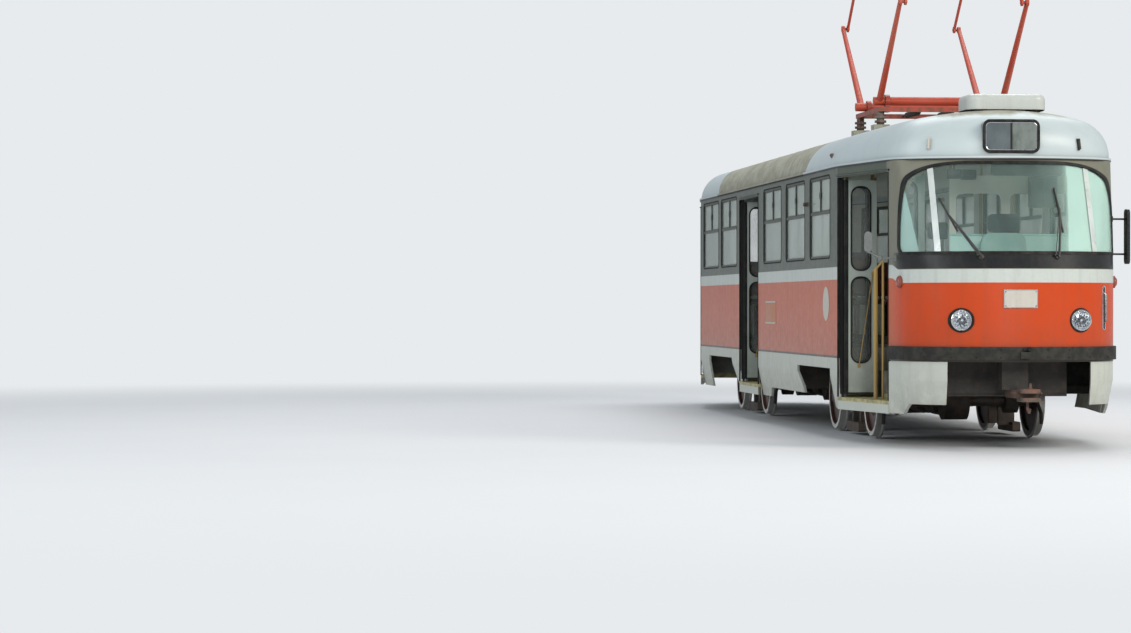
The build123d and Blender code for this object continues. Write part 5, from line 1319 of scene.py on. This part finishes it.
def make_pieces():
    """Every modelled piece over the frame's own nodes."""
    ends = {1: skin_of("end_front"), -1: skin_of("end_rear")}
    roof = skin_of("roof")
    make_window_rubbers()
    make_doorway_trim()
    make_side_fittings()
    make_skirt_corners()
    make_roof_knob()
    make_joint_covers()
    make_front_plate(ends[1])
    make_indicators(ends)
    make_lamp_rings(ends)
    make_corner_marker(ends[1])
    make_brow_fittings(roof)
    make_wipers(skin_of("windscreens"), ends[1])
    make_bumper_fittings()
    make_coupler_fittings()
    make_driver_seat()
    make_cab_fittings()
    make_passenger_seats()
    for number, place in enumerate(doorways(), 1):
        for name, fold, start, end in leaf_forms():
            make_leaf("door_" + str(number) + "_" + name, place @ fold, start, end)
    make_roof_gear(roof)
    make_running_gear()
    make_underframe_pipes()
    make_mirror_faces()


# Camera, light and floor


def stand(name, data, place, ahead):
    """Camera or lamp at a place, looking ahead."""
    made = bpy.data.objects.new(name, data)
    bpy.context.scene.collection.objects.link(made)
    made.location = place
    made.rotation_mode = "QUATERNION"
    made.rotation_quaternion = ahead.to_track_quat("-Z", "Y")
    return made


def make_camera():
    lens = bpy.data.cameras.new("camera")
    lens.sensor_width = SENSOR
    lens.lens = FOCAL_PIXELS * SENSOR / PHOTO_WIDTH
    lens.clip_end = 400.0
    ahead = Vector((-math.cos(YAW) * math.cos(PITCH), math.sin(YAW) * math.cos(PITCH), math.sin(PITCH)))
    bpy.context.scene.camera = stand("camera", lens, EYE, ahead)


def make_lamp(name, place, target, size, power, colour):
    data = bpy.data.lights.new(name, "AREA")
    data.size = size
    data.energy = power
    data.color = colour
    stand(name, data, place, Vector(target) - Vector(place))


def make_world():
    """Pale surroundings, with a calmer light from them on the object."""
    world = bpy.data.worlds.new("studio")
    bpy.context.scene.world = world
    world.use_nodes = True
    tree = world.node_tree
    back = tree.nodes["Background"]
    back.inputs["Color"].default_value = (0.72, 0.78, 0.84, 1)
    back.inputs["Strength"].default_value = 0.56
    pale = tree.nodes.new("ShaderNodeBackground")
    pale.inputs["Color"].default_value = PALE_SKY
    path = tree.nodes.new("ShaderNodeLightPath")
    choose = tree.nodes.new("ShaderNodeMixShader")
    direct = tree.nodes.new("ShaderNodeMath")
    direct.operation = "MAXIMUM"
    for start, end in ((path.outputs["Is Camera Ray"], direct.inputs[0]),
                       (path.outputs["Is Transmission Ray"], direct.inputs[1]),
                       (direct.outputs[0], choose.inputs["Fac"]), (back.outputs[0], choose.inputs[1]),
                       (pale.outputs[0], choose.inputs[2]),
                       (choose.outputs[0], tree.nodes["World Output"].inputs["Surface"])):
        tree.links.new(start, end)


def make_floor():
    """Pale floor that keeps the object's shadow and fades into the surroundings far away."""
    ground = Finish("studio_floor")
    cloud = ground.noise(0.6, 4.0)
    ground.finish(ground.mix(cloud, (0.67, 0.68, 0.69, 1), (0.7, 0.71, 0.72, 1)), Roughness=0.9)
    ways = ground.node("LightPath").outputs
    seen = ground.math("MAXIMUM", ways["Is Camera Ray"], ways["Is Glossy Ray"])
    seen = ground.math("MAXIMUM", seen, ways["Is Transmission Ray"])
    far = ground.both(seen, ground.above(ground.length(ground.x, ground.y), 15.0, 6.0))
    haze = ground.node("Emission", Color=PALE_SKY, Strength=1.0).outputs[0]
    blend = ground.node("MixShader", Fac=far)
    ground.put(blend.inputs[1], ground.shader.outputs[0])
    ground.put(blend.inputs[2], haze)
    ground.put(ground.tree.nodes["Material Output"].inputs["Surface"], blend.outputs[0])
    plane = bmesh.new()
    bmesh.ops.create_grid(plane, x_segments=8, y_segments=8, size=150.0)
    data = bpy.data.meshes.new("studio_floor")
    plane.to_mesh(data)
    plane.free()
    data.materials.append(ground.material)
    floor = bpy.data.objects.new("studio_floor", data)
    bpy.context.scene.collection.objects.link(floor)


def make_stage():
    """Plain studio round the tram."""
    bpy.context.scene.view_settings.view_transform = "Standard"
    make_world()
    make_floor()
    make_lamp("key", (20, 16, 13), (3, 0, 1.5), 9.0, 3300, (1.0, 0.95, 0.87))
    make_lamp("ahead", (27, -1, 7.5), (5.5, 0, 1.8), 4.0, 1350, (1.0, 0.98, 0.95))
    make_lamp("fill", (16, -22, 12), (0, 0, 1.5), 14.0, 2200, (0.93, 0.97, 1.0))
    make_lamp("top", (-4, 2, 16), (0, 0, 2), 12.0, 1800, (1.0, 1.0, 1.0))


MATERIALS = {name: make(name, *values) for name, (make, *values) in FINISHES.items()}
make_camera()
make_stage()
dress_nodes()
make_pieces()
